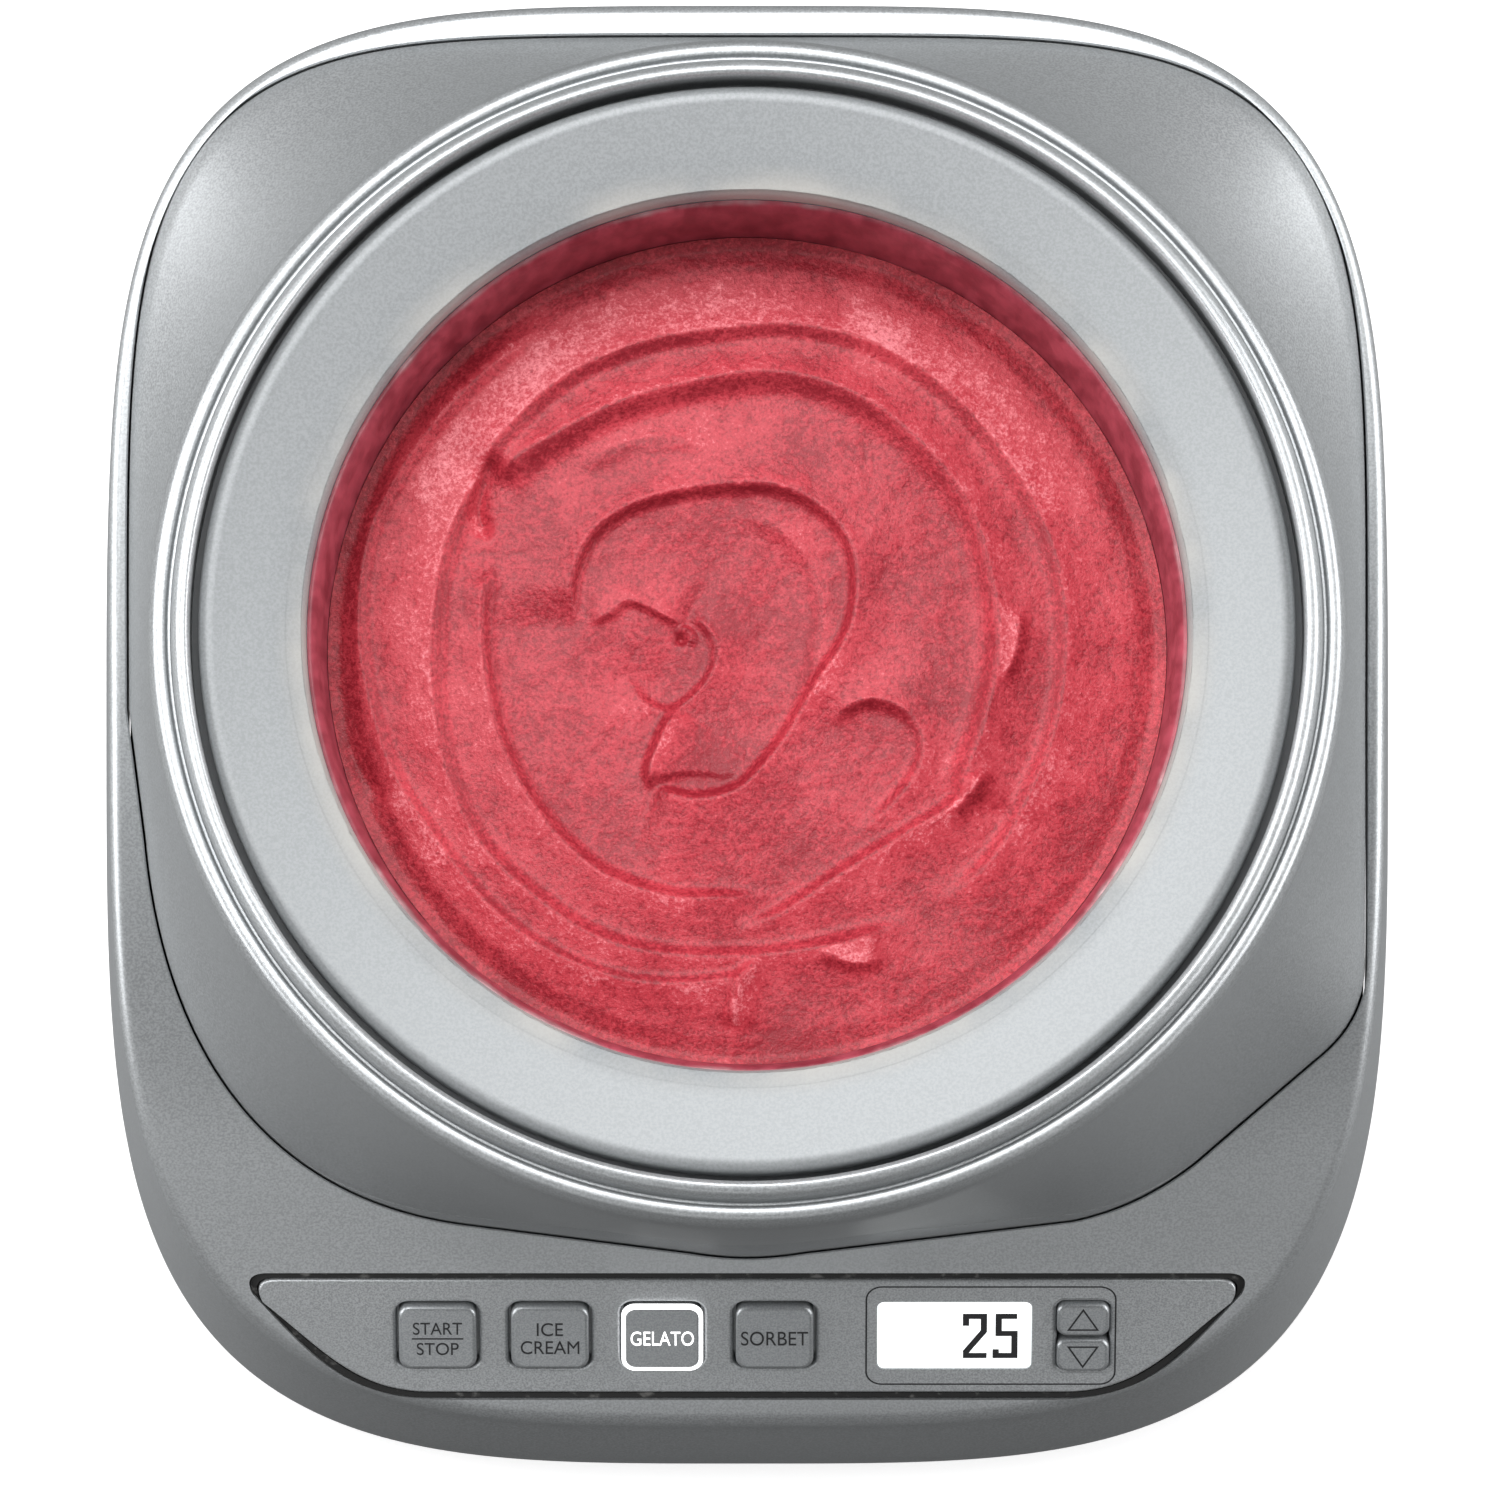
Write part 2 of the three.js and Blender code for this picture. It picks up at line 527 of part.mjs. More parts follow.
// ---------- control panel, drawn flat on the deck's slope ----------
/** The fascia's outline grown by grow: a straight top, a shorter bottom and swept ends. */
function fasciaShape(grow) {
  const { halfTop, halfBottom, top, bottom } = FASCIA;
  const [t, b, w] = [top + grow, bottom - grow, halfTop + grow];
  const s = new THREE.Shape();
  s.moveTo(-halfBottom, b);
  s.lineTo(halfBottom, b);
  s.bezierCurveTo(halfBottom + 13 + grow, b, w - 12, b + 9, w - 1.2, t - 4.6);
  s.quadraticCurveTo(w + 0.6, t, w - 4, t);
  s.lineTo(-w + 4, t);
  s.quadraticCurveTo(-w - 0.6, t, -w + 1.2, t - 4.6);
  s.bezierCurveTo(-w + 12, b + 9, -halfBottom - 13 - grow, b, -halfBottom, b);
  return s;
}

const fasciaPrism = (grow, bottom, top) =>
  new THREE.ExtrudeGeometry(fasciaShape(grow), { depth: top - bottom, bevelEnabled: false, curveSegments: 7 })
    .translate(0, 0, bottom);

const MODE_BUTTONS = ["start_stop_button", "ice_cream_button", "gelato_button", "sorbet_button"];
const modeButtonX = (i) => BUTTON.first + i * BUTTON.pitch;

/** A key cap with a softened top edge and a wider flange under the fascia. */
function keyCap({ width, height, radius }, flangeWidth, flangeHeight) {
  const soften = 0.5;
  const under = -FASCIA.thick - GAP;
  const face = roundedRect(width - soften * 2, height - soften * 2, radius - soften);
  const cap = new THREE.ExtrudeGeometry(face, {
    depth: BUTTON.proud - under - soften, bevelEnabled: true, bevelThickness: soften, bevelSize: soften,
    bevelSegments: 1, curveSegments: 2,
  }).translate(0, 0, under);
  const flange = prism(roundedRect(flangeWidth, flangeHeight, 1), under - 1.2, under);
  return join(flange, [cap]);
}

function fasciaPlate() {
  const hole = (width, height, radius, x, y = 0) =>
    prism(roundedRect(width, height, radius, x, y), -FASCIA.thick - 1, 1);
  const grow = BUTTON.hole * 2;
  const keyGrow = TIME_KEY.hole * 2;
  return cut(fasciaPrism(0, -FASCIA.thick, 0), [
    ...MODE_BUTTONS.map((_, i) =>
      hole(BUTTON.width + grow, BUTTON.height + grow, BUTTON.radius + BUTTON.hole, modeButtonX(i))),
    hole(DISPLAY.width, DISPLAY.height, DISPLAY.radius, DISPLAY.x),
    hole(TIME_KEY.width + keyGrow, TIME_KEY.height + TIME_KEY.pitch + keyGrow, TIME_KEY.radius + TIME_KEY.hole,
      TIME_KEY.x),
  ]);
}

/** The rubber keypad: a sheet on the board with a dome under each key, open at the lamps and the display. */
function keypadMat() {
  const [bottom, top, dome] = [BOARD.top + GAP, BOARD.top + 1.9, BOARD.top + 3.3];
  const pad = (x, y, width) => new THREE.BoxGeometry(width, 4, dome - bottom - 0.5)
    .translate(x, y, (dome + bottom + 0.5) / 2);
  const pads = MODE_BUTTONS.flatMap((_, i) => [-1, 1].map((side) => pad(modeButtonX(i), side * 4.2, 7)));
  const keys = [-1, 1].map((side) => pad(TIME_KEY.x, (side * TIME_KEY.pitch) / 2, 5));
  const sheet = prism(roundedRect(BOARD.width - 2, BOARD.height - 2, 2, BOARD.x), bottom, top);
  const window = new THREE.BoxGeometry(DISPLAY.width + 5, DISPLAY.height + 2.6, 12)
    .translate(DISPLAY.x, 0, bottom);
  const lamps = lampPlaces().map((x) => new THREE.BoxGeometry(4.4, 3, 12).translate(x, 0, bottom));
  return cut(join(sheet, [...pads, ...keys]), [window, ...lamps]);
}

const lampPlaces = () => [1, 2, 3].map(modeButtonX);

function addPanel() {
  place("panel_fascia", fasciaPlate(), PAINT(), panel);
  const sealBody = fasciaPrism(GASKET.outside, -FASCIA.thick, -GASKET.recess);
  place("panel_gasket", cut(sealBody, [fasciaPrism(GASKET.inside, -FASCIA.thick - 1, 1)]), RUBBER(), panel);
  MODE_BUTTONS.forEach((name, i) => {
    place(name, keyCap(BUTTON, BUTTON.width + 3.4, BUTTON.height + 3), PAINT(), panel)
      .position.x = modeButtonX(i);
  });
  for (const [name, side] of [["time_up_button", 1], ["time_down_button", -1]]) {
    place(name, keyCap(TIME_KEY, TIME_KEY.width + 3, TIME_KEY.height), PAINT(), panel)
      .position.set(TIME_KEY.x, (side * TIME_KEY.pitch) / 2, 0);
  }
  const cover = roundedRect(DISPLAY.width - 0.6, DISPLAY.height - 0.6, DISPLAY.radius - GAP, DISPLAY.x);
  place("display_window", prism(cover, -1.9, -0.2), finish(0xf4f6f6, 0, 0.1), panel);
  const screen = roundedRect(DISPLAY.width + 3, DISPLAY.height + 1, 1, DISPLAY.x);
  place("lcd_module", prism(screen, BOARD.top + GAP, -FASCIA.thick - GAP), finish(0xe8ecec, 0, 0.4), panel);
  place("keypad_mat", keypadMat(), RUBBER(), panel);
  const card = prism(roundedRect(BOARD.width, BOARD.height, 1.5, BOARD.x), BOARD.top - BOARD.thick, BOARD.top);
  place("control_board", card, BOARD_GREEN(), panel);
  ["ice_cream_lamp", "gelato_lamp", "sorbet_lamp"].forEach((name, i) => {
    place(name, new THREE.BoxGeometry(3.2, 1.8, 1.4), finish(0xfdfdf4, 0, 0.3), panel)
      .position.set(lampPlaces()[i], 0, BOARD.top + GAP + 0.7);
  });
}

/** Stands a piece turned about Z at the cord's place, square to the curved back wall. */
const inBackWall = (geometry) => geometry.rotateX(-Math.PI / 2).rotateZ(CORD_BUSH.turn)
  .translate(CORD_BUSH.x, CORD_BUSH.y, CORD_BUSH.z);

function addHousing() {
  const opening = fasciaPrism(GASKET.opening, -9, 9);
  opening.applyMatrix4(new THREE.Matrix4().compose(panel.position, panel.quaternion, panel.scale));
  const cordHole = inBackWall(disc(CORD_BUSH.radius + GAP, -12, 12));
  place("deck_shell", cut(deckShell(), [opening, cordHole]), PAINT());
  place("tower_shell", towerShell(), PAINT());
  place("rim_ring", turned(RING_PROFILE), PAINT());
  place("bowl_well", bowlWell(), finish(0x8d9194, 0.1, 0.6));
  place("base_pan", basePan(), BLACK());
  for (const [name, x, y] of footPlaces()) place(`foot_${name}`, foot(), RUBBER()).position.set(x, y, 0);
  postPlaces().forEach(([x, y], i) => {
    place(`base_screw_${i + 1}`, screw(BASE_SCREW), STEEL())
      .position.set(x, y, PAN_BOTTOM - GAP - BASE_SCREW.headHeight);
  });
  place("cord_bush", inBackWall(turned([
    [CORD_BUSH.bore, -5.6], [7, -5.6], [7, -4.3], [CORD_BUSH.radius, -4], [CORD_BUSH.radius, 0.5], [7.4, 0.5],
    [6.6, 2.3], [CORD_BUSH.bore, 2.3],
  ], SMALL_STEPS)), RUBBER());
}

function addBowl() {
  place("bowl_rim", turned(BOWL_RIM_PROFILE), RIM_PAINT());
  place("bowl_liner", turned([[0, 76.5], ...LINER_OUTSIDE, ...LINER_INSIDE]), ALUMINIUM());
  place("bowl_outer", turned([[0, 64.6], ...OUTER_OUTSIDE, ...OUTER_INSIDE]), finish(0xd9dbdc, 0, 0.5));
  place("coolant_fill", turned(COOLANT), finish(0x7fb3d6, 0, 0.3));
  place("bowl_seal", turned(SEAL_PROFILE), RUBBER());
  place("bowl_base_cap", bowlBaseCap(), finish(0xc4c6c8, 0, 0.5));
  place("sorbet", turned(SORBET_PROFILE), finish(0xc84a5a, 0, 0.45));
}

function addDrive() {
  const { x: ix, y: iy } = IDLER_PLACE;
  const { x: mx, y: my } = MOTOR_PLACE;
  const plateTop = PLATE.bottom + PLATE.thick;
  const wellTop = WELL_FLOOR + FLOOR_THICK;
  place("motor_plate", motorPlate(), STEEL());
  plateCorners().forEach(([x, y], i) => {
    place(`plate_screw_${i + 1}`, screw(PLATE_SCREW), STEEL())
      .position.set(x, y, PLATE.bottom - GAP - PLATE_SCREW.headHeight);
  });
  const bore = SHAFT_RADIUS + RUNNING_FIT;
  place("output_bearing", sleeve(bore, 9, WELL_FLOOR - 1.5, wellTop + 0.4), BRASS());
  place("shaft_seal", sleeve(SHAFT_RADIUS + 0.35, 8.4, wellTop + 0.7, wellTop + 1.9), RUBBER());
  place("output_gear", gear(OUTPUT_GEAR, IDLER_ANGLE, true, SHAFT_RADIUS + GAP), NYLON());
  place("output_shaft", disc(SHAFT_RADIUS, plateTop + GAP, SHAFT_TOP), STEEL());
  const clip = sleeve(SHAFT_RADIUS + GAP, SHAFT_CLIP.radius, SHAFT_CLIP.bottom, SHAFT_CLIP.top);
  place("shaft_clip", clip, STEEL());
  const key = cut(driveCross(0, HUB.bottom + 2, HUB.keyTop), [disc(SHAFT_RADIUS + GAP, 50, SHAFT_TOP + 0.5)]);
  const hub = join(sleeve(SHAFT_RADIUS + GAP, HUB.radius, HUB.bottom, HUB.top, ROUND_STEPS), [key]);
  place("drive_hub", hub, finish(0x5f6468, 0, 0.5));
  const [headBottom, headTop, axleTop] = [PLATE.bottom - 1.9, PLATE.bottom - GAP, WELL_FLOOR - 0.5];
  place("idler_axle", turned([
    [0, headBottom], [5, headBottom], [5, headTop], [AXLE_RADIUS, headTop],
    [AXLE_RADIUS, axleTop], [0, axleTop],
  ], SMALL_STEPS), STEEL()).position.set(ix, iy, 0);
  place("idler_gear", idlerGear(), NYLON()).position.set(ix, iy, 0);
  const motor = new THREE.Group();
  motor.position.set(mx, my, 0);
  model.add(motor);
  place("motor_pinion", gear(MOTOR_PINION, MOTOR_ANGLE + Math.PI, false, AXLE_RADIUS + GAP), BRASS(), motor);
  place("motor_rotor", turned([
    [0, 9.9], [AXLE_RADIUS, 9.9], [AXLE_RADIUS, 14.5], [STATOR.bore - 0.5, 14.5], [STATOR.bore - 0.5, 31.5],
    [AXLE_RADIUS, 31.5], [AXLE_RADIUS, 46.4], [0, 46.4],
  ], SMALL_STEPS), STEEL(), motor);
  const stator = motorBlock(STATOR.side, STATOR.bottom, STATOR.top, STATOR.bore);
  place("motor_stator", stator, finish(0x5c6066, 0.8, 0.5), motor);
  const coil = (bottom, top) => sleeve(COIL.inner, COIL.outer, bottom, top);
  place("motor_coil_upper", coil(STATOR.top + GAP, STATOR.top + COIL.height), COPPER(), motor);
  place("motor_coil_lower", coil(STATOR.bottom - COIL.height, STATOR.bottom - GAP), COPPER(), motor);
  const bearing = sleeve(AXLE_RADIUS + RUNNING_FIT, 6, PLATE.bottom - 0.4, plateTop + 0.4);
  place("motor_bearing", bearing, BRASS(), motor);
  const endCap = motorBlock(END_CAP.side, END_CAP.bottom, END_CAP.top, AXLE_RADIUS + RUNNING_FIT);
  place("motor_end_cap", endCap, STEEL(), motor);
  motorScrewPlaces().forEach(([x, y], i) => {
    place(`motor_screw_${i + 1}`, screw(MOTOR_SCREW), STEEL()).position.set(x, y, PAN_FLOOR + 0.15);
  });
}

function addPower() {
  const { x, y, width, depth, z, thick } = POWER_BOARD;
  const pegHole = (px, py) => disc(1.8, z - 1, z + thick + 1, TINY_STEPS).translate(px, py, 0);
  const holes = boardPegPlaces().map(([px, py]) => pegHole(px, py));
  place("power_board", cut(prism(roundedRect(width, depth, 2, x, y), z, z + thick), holes), BOARD_GREEN());
  const part = (name, { wide, deep, tall }, px, py, material) =>
    place(name, new THREE.BoxGeometry(wide, deep, tall), material)
      .position.set(px, py, z + thick + GAP + tall / 2);
  part("transformer", TRANSFORMER, x - 16, y + 3, finish(0xd8b34a, 0, 0.5));
  part("motor_relay", RELAY, x + 14, y + 6, finish(0x2b5fa8, 0, 0.5));
}

addHousing();
addBowl();
addDrive();
addPower();
addPanel();

export default model;
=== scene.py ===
"""Looks of an electronic ice cream maker with its lid off.

Each sub-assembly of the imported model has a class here. It builds the smooth meshes that stand for
the coarse solids, dresses the solids that are kept, and seats everything on its moving body.
"""

import logging
import math
from dataclasses import dataclass, field
from enum import Enum
from typing import Any, Callable, Protocol, Sequence

import bmesh
import bpy
import numpy as np
from mathutils import Matrix, Vector, noise
from mathutils.geometry import tessellate_polygon


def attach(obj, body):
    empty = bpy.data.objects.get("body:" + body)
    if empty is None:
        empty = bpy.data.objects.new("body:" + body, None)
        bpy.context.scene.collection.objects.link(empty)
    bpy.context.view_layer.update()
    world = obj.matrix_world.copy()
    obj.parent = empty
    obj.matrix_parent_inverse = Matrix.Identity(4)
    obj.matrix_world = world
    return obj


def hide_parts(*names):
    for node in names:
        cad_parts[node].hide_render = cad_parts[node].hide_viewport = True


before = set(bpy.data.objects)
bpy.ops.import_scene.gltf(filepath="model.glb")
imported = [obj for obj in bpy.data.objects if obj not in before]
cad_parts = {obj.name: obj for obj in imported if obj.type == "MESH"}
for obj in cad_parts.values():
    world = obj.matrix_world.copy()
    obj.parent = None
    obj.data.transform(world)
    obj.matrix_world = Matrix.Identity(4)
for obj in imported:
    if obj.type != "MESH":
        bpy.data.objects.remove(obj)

LOG = logging.getLogger("ice_cream_maker")
MM = 0.001
TURN = 2 * math.pi
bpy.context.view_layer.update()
UNLISTED = ("black_ink", "lit_print")
SHARP = 32.0

Colour = tuple[float, float, float]
Point2 = tuple[float, float]
Point3 = tuple[float, float, float]
Outline = list[Point2]
Face = tuple[int, ...]


# ---------------------------------------------------------------- shader writing


class Value:
    """A shader socket that can stand in a sum, so that maths reads as an expression."""

    def __init__(self, graph: "Graph", socket: bpy.types.NodeSocket) -> None:
        """Wraps a socket of a graph.

        Args:
            graph: The graph that new Math nodes go into.
            socket: The output socket to wrap.
        """
        self.graph = graph
        self.socket = socket

    def _math(self, operation: str, first: Any, second: Any) -> "Value":
        """Adds one Math node.

        Args:
            operation: The Math node's operation.
            first: Its first number or Value.
            second: Its second number or Value.

        Returns:
            The node's result.
        """
        return self.graph.add("ShaderNodeMath", {"operation": operation}, {0: first, 1: second})

    def __add__(self, other: Any) -> "Value":
        """Returns self + other."""
        return self._math("ADD", self, other)

    __radd__ = __add__

    def __sub__(self, other: Any) -> "Value":
        """Returns self - other."""
        return self._math("SUBTRACT", self, other)

    def __rsub__(self, other: Any) -> "Value":
        """Returns other - self."""
        return self._math("SUBTRACT", other, self)

    def __mul__(self, other: Any) -> "Value":
        """Returns self * other."""
        return self._math("MULTIPLY", self, other)

    __rmul__ = __mul__

    def band(self, low: float, high: float) -> "Value":
        """Rises smoothly from 0 at low to 1 at high.

        Args:
            low: Where the rise starts.
            high: Where it ends.

        Returns:
            The clamped result.
        """
        inputs = {"Value": self, "From Min": low, "From Max": high}
        return self.graph.add("ShaderNodeMapRange", {"interpolation_type": "SMOOTHSTEP"}, inputs)


class Graph:
    """The node graph of one material, with a Principled shader at its end."""

    def __init__(self, name: str) -> None:
        """Starts a material of that name.

        Args:
            name: The material's name.
        """
        self.material = bpy.data.materials.new(name)
        self.material.use_nodes = True
        self.nodes = self.material.node_tree.nodes
        self.links = self.material.node_tree.links
        self.shader = self.nodes["Principled BSDF"]
        self.place = self.add("ShaderNodeTexCoord", {}, {}, "Object")

    def add(self, kind: str, settings: dict[str, Any], inputs: dict[Any, Any], output: Any = 0) -> Value:
        """Adds a node: first its settings, then the values or links of its sockets.

        Args:
            kind: The node's type.
            settings: The node's properties.
            inputs: Socket name or number to a number, a colour or a Value.
            output: Name or number of the output that is wanted.

        Returns:
            That output.
        """
        node = self.nodes.new(kind)
        for key, value in settings.items():
            setattr(node, key, value)
        for key, value in inputs.items():
            self._feed(node.inputs[key], value)
        return Value(self, node.outputs[output])

    def _feed(self, socket: bpy.types.NodeSocket, value: Any) -> None:
        """Links a Value to a socket, or sets the socket's number or colour.

        Args:
            socket: The input socket.
            value: What goes in.
        """
        if isinstance(value, Value):
            self.links.new(value.socket, socket)
        elif isinstance(value, tuple) and len(value) == 3 and socket.type == "RGBA":
            socket.default_value = (*value, 1.0)
        else:
            socket.default_value = value

    def noise(self, size: float, detail: float = 2.0, rough: float = 0.5,
              where: Value | None = None) -> Value:
        """Noise with features of a size in metres.

        Args:
            size: The features' size in metres.
            detail: How many finer layers it has.
            rough: How strong the finer layers are.
            where: The coordinates, or None for Object coordinates.

        Returns:
            A factor around one half.
        """
        inputs = {"Vector": where or self.place, "Scale": 1.0 / size, "Detail": detail, "Roughness": rough}
        return self.add("ShaderNodeTexNoise", {}, inputs, "Fac")

    def stretched(self, scale: Point3) -> Value:
        """Returns Object coordinates scaled along X, Y and Z."""
        return self.add("ShaderNodeMapping", {}, {"Vector": self.place, "Scale": scale})

    def spots(self, scale: float) -> Value:
        """Returns the distance from the nearest of many scattered points."""
        inputs = {"Vector": self.place, "Scale": scale}
        return self.add("ShaderNodeTexVoronoi", {"feature": "F1"}, inputs, "Distance")

    def blend(self, factor: Any, first: Any, second: Any) -> Value:
        """Mixes two colours.

        Args:
            factor: 0 for the first, 1 for the second.
            first: A colour or a Value.
            second: A colour or a Value.

        Returns:
            The mixed colour.
        """
        inputs = {"Factor": factor, 6: first, 7: second}
        return self.add("ShaderNodeMix", {"data_type": "RGBA", "clamp_factor": True}, inputs, 2)

    def bump(self, height: Value, distance: float, strength: float = 1.0,
             under: Value | None = None) -> Value:
        """Turns a height into a bent normal.

        Args:
            height: The height, from 0 to 1.
            distance: How many metres a height of 1 stands for.
            strength: How much of it is used.
            under: A normal that this one is laid over.

        Returns:
            The normal.
        """
        inputs: dict[Any, Any] = {"Height": height, "Distance": distance, "Strength": strength}
        if under is not None:
            inputs["Normal"] = under
        return self.add("ShaderNodeBump", {}, inputs)

    def finish(self, **sockets: Any) -> bpy.types.Material:
        """Feeds the Principled shader and returns the material.

        Args:
            **sockets: Socket names with underscores for spaces, and what goes in.

        Returns:
            The finished material.
        """
        for key, value in sockets.items():
            self._feed(self.shader.inputs[key.replace("_", " ")], value)
        return self.material


def scaled(colour: Colour, factor: float) -> Colour:
    """Returns the colour made darker, or lighter up to white."""
    return tuple(min(1.0, c * factor) for c in colour)


class Finish(Protocol):
    """Anything that can make its material."""

    name: str

    def make(self) -> bpy.types.Material:
        """Builds the material."""
        ...


@dataclass(frozen=True)
class MetallicPaint:
    """Satin lacquer with a fine metal flake, and a painted highlight that makes convex edges a little
    lighter.

    Attributes:
        name: The material's name.
        colour: The lacquer's colour.
        roughness: Mean roughness.
        metallic: How metallic the flake makes it.
        flake: Size of a flake in metres.
        contrast: How much a flake is lighter or darker than its neighbours.
    """

    name: str
    colour: Colour
    roughness: float = 0.38
    metallic: float = 0.72
    flake: float = 0.00042
    contrast: float = 0.16

    def make(self) -> bpy.types.Material:
        """Builds the material.

        Returns:
            The paint.
        """
        g = Graph(self.name)
        flake = g.noise(self.flake, 1.0, 0.6)
        cloud = g.noise(0.035, 3.0)
        dark, light = scaled(self.colour, 1 - self.contrast), scaled(self.colour, 1 + self.contrast)
        speckle = g.blend(flake.band(0.3, 0.7), dark, light)
        mottled = g.blend(cloud.band(0.25, 0.8) * 0.35, speckle, scaled(self.colour, 0.93))
        # Painted highlight: convex edges are made lighter, as where the light catches them.
        edge = g.add("ShaderNodeNewGeometry", {}, {}, "Pointiness").band(0.53, 0.6)
        edge_highlighted = g.blend(edge * 0.35, mottled, scaled(self.colour, 1.25))
        rough = (flake - 0.5) * 0.16 + (cloud - 0.5) * 0.08 + self.roughness
        orange_peel = g.bump(g.noise(0.0016, 2.0), 0.00002, 0.5)
        normal = g.bump(flake, 0.00003, 0.55, orange_peel)
        return g.finish(
            Base_Color=edge_highlighted, Roughness=rough, Metallic=self.metallic, Normal=normal,
            Specular_IOR_Level=0.25, Specular_Tint=(0.4, 0.4, 0.4),
        )


class Grain(Enum):
    """The fine texture of a moulded or machined surface: feature size and depth in metres."""

    SATIN = (0.0006, 0.00001)
    SPARK = (0.0011, 0.00006)
    SMOOTH = (0.004, 0.000015)
    CAST = (0.0024, 0.00012)


@dataclass(frozen=True)
class Moulding:
    """Moulded plastic or rubber with a spark-eroded grain, slight colour drift and handling dust.

    Attributes:
        name: The material's name.
        colour: Its colour.
        roughness: Mean roughness.
        grain: The texture of the mould.
        dust: How much pale dust lies in its hollows.
    """

    name: str
    colour: Colour
    roughness: float = 0.5
    grain: Grain = Grain.SPARK
    dust: float = 0.12

    def make(self) -> bpy.types.Material:
        """Builds the material.

        Returns:
            The moulding's material.
        """
        g = Graph(self.name)
        size, depth = self.grain.value
        fine = g.noise(size, 3.0)
        drift = g.noise(0.02, 3.0)
        colour = g.blend(drift.band(0.3, 0.75) * 0.5, self.colour, scaled(self.colour, 0.86))
        dusty = g.blend(fine.band(0.58, 0.75) * self.dust, colour, (0.5, 0.49, 0.47))
        rough = (fine - 0.5) * 0.2 + (drift - 0.5) * 0.1 + self.roughness
        return g.finish(Base_Color=dusty, Roughness=rough, Normal=g.bump(fine, depth, 0.8))


@dataclass(frozen=True)
class DrawnMetal:
    """Metal with fine drawing or turning lines.

    Attributes:
        name: The material's name.
        colour: Its colour.
        roughness: Mean roughness.
        stretch: Scale of the lines along X, Y and Z.
    """

    name: str
    colour: Colour
    roughness: float = 0.32
    stretch: Point3 = (1.0, 1.0, 18.0)

    def make(self) -> bpy.types.Material:
        """Builds the material.

        Returns:
            The metal.
        """
        g = Graph(self.name)
        lines = g.noise(0.006, 4.0, 0.65, g.stretched(self.stretch))
        stain = g.noise(0.012, 3.0)
        colour = g.blend(lines.band(0.35, 0.7), scaled(self.colour, 0.82), self.colour)
        stained = g.blend(stain.band(0.55, 0.8) * 0.3, colour, scaled(self.colour, 0.6))
        rough = (lines - 0.5) * 0.22 + (stain - 0.5) * 0.15 + self.roughness
        normal = g.bump(lines, 0.00002, 0.6)
        return g.finish(Base_Color=stained, Roughness=rough, Metallic=1.0, Normal=normal)


@dataclass(frozen=True)
class CircuitBoard:
    """Green solder mask over copper tracks, which show as paler lines and dots.

    Attributes:
        name: The material's name.
        mask: The mask's colour over bare board.
        track: Its colour over copper.
    """

    name: str
    mask: Colour = (0.02, 0.12, 0.05)
    track: Colour = (0.06, 0.3, 0.13)

    def make(self) -> bpy.types.Material:
        """Builds the material.

        Returns:
            The board's material.
        """
        g = Graph(self.name)
        cells = {"Vector": g.place, "Scale": 260.0, "Randomness": 0.35}
        settings = {"feature": "F1", "distance": "MANHATTAN"}
        web = g.add("ShaderNodeTexVoronoi", settings, cells, "Distance").band(0.42, 0.48)
        tracks = g.blend(web, self.track, self.mask)
        pads = g.blend(1 - g.spots(150.0).band(0.08, 0.12), tracks, (0.6, 0.6, 0.58))
        return g.finish(Base_Color=pads, Roughness=0.38, Normal=g.bump(web, 0.00004, 0.6))


@dataclass(frozen=True)
class Glow:
    """A lit surface: a white screen, a lamp, or print with a lamp behind it.

    Attributes:
        name: The material's name.
        colour: Its colour by day.
        strength: How brightly it shines.
    """

    name: str
    colour: Colour = (0.95, 0.97, 0.97)
    strength: float = 1.0

    def make(self) -> bpy.types.Material:
        """Builds the material.

        Returns:
            The glowing material.
        """
        g = Graph(self.name)
        cloud = g.noise(0.01, 2.0)
        lit = g.blend(cloud.band(0.3, 0.8) * 0.2, self.colour, scaled(self.colour, 0.93))
        return g.finish(Base_Color=lit, Emission_Color=lit, Emission_Strength=self.strength, Roughness=0.35)


@dataclass(frozen=True)
class Ink:
    """Printed lettering.

    Attributes:
        name: The material's name.
        colour: Its colour.
    """

    name: str
    colour: Colour = (0.012, 0.012, 0.014)

    def make(self) -> bpy.types.Material:
        """Builds the material.

        Returns:
            The ink.
        """
        g = Graph(self.name)
        fine = g.noise(0.0004, 2.0)
        colour = g.blend(fine.band(0.5, 0.8) * 0.3, self.colour, tuple(c + 0.03 for c in self.colour))
        return g.finish(Base_Color=colour, Roughness=0.5)


@dataclass(frozen=True)
class RimPaint:
    """The bowl rim's pale satin silver, paler and rougher along its inner edge, where icy frosting and a
    painted highlight are laid on.

    Attributes:
        name: The material's name.
        colour: The paint.
        frost_with_highlight: Colour of the pale inner edge, partly icy frosting and partly a painted
            highlight.
        mouth: Radius of the rim's inner edge in metres.
        pale_edge_width: Width of that pale edge in metres.
    """

    name: str
    colour: Colour
    frost_with_highlight: Colour
    mouth: float
    pale_edge_width: float = 0.006

    def make(self) -> bpy.types.Material:
        """Builds the material.

        Returns:
            The rim's material.
        """
        g = Graph(self.name)
        flake = g.noise(0.0005, 1.0, 0.6)
        cloud = g.noise(0.02, 3.0)
        flat = g.add("ShaderNodeVectorMath", {"operation": "MULTIPLY"}, {0: g.place, 1: (1.0, 1.0, 0.0)})
        radius = g.add("ShaderNodeVectorMath", {"operation": "LENGTH"}, {0: flat}, "Value")
        # Pale band along the inner edge: icy frosting with a painted highlight.
        near = 1 - radius.band(self.mouth, self.mouth + self.pale_edge_width)
        paint = g.blend(flake.band(0.3, 0.7), scaled(self.colour, 0.9), scaled(self.colour, 1.07))
        colour = g.blend(near * cloud.band(0.3, 0.7) * 0.6, paint, self.frost_with_highlight)
        rough = near * 0.2 + (flake - 0.5) * 0.12 + 0.42
        return g.finish(
            Base_Color=colour, Roughness=rough, Metallic=0.25,
            Normal=g.bump(flake, 0.00003, 0.4), Specular_IOR_Level=0.3,
        )


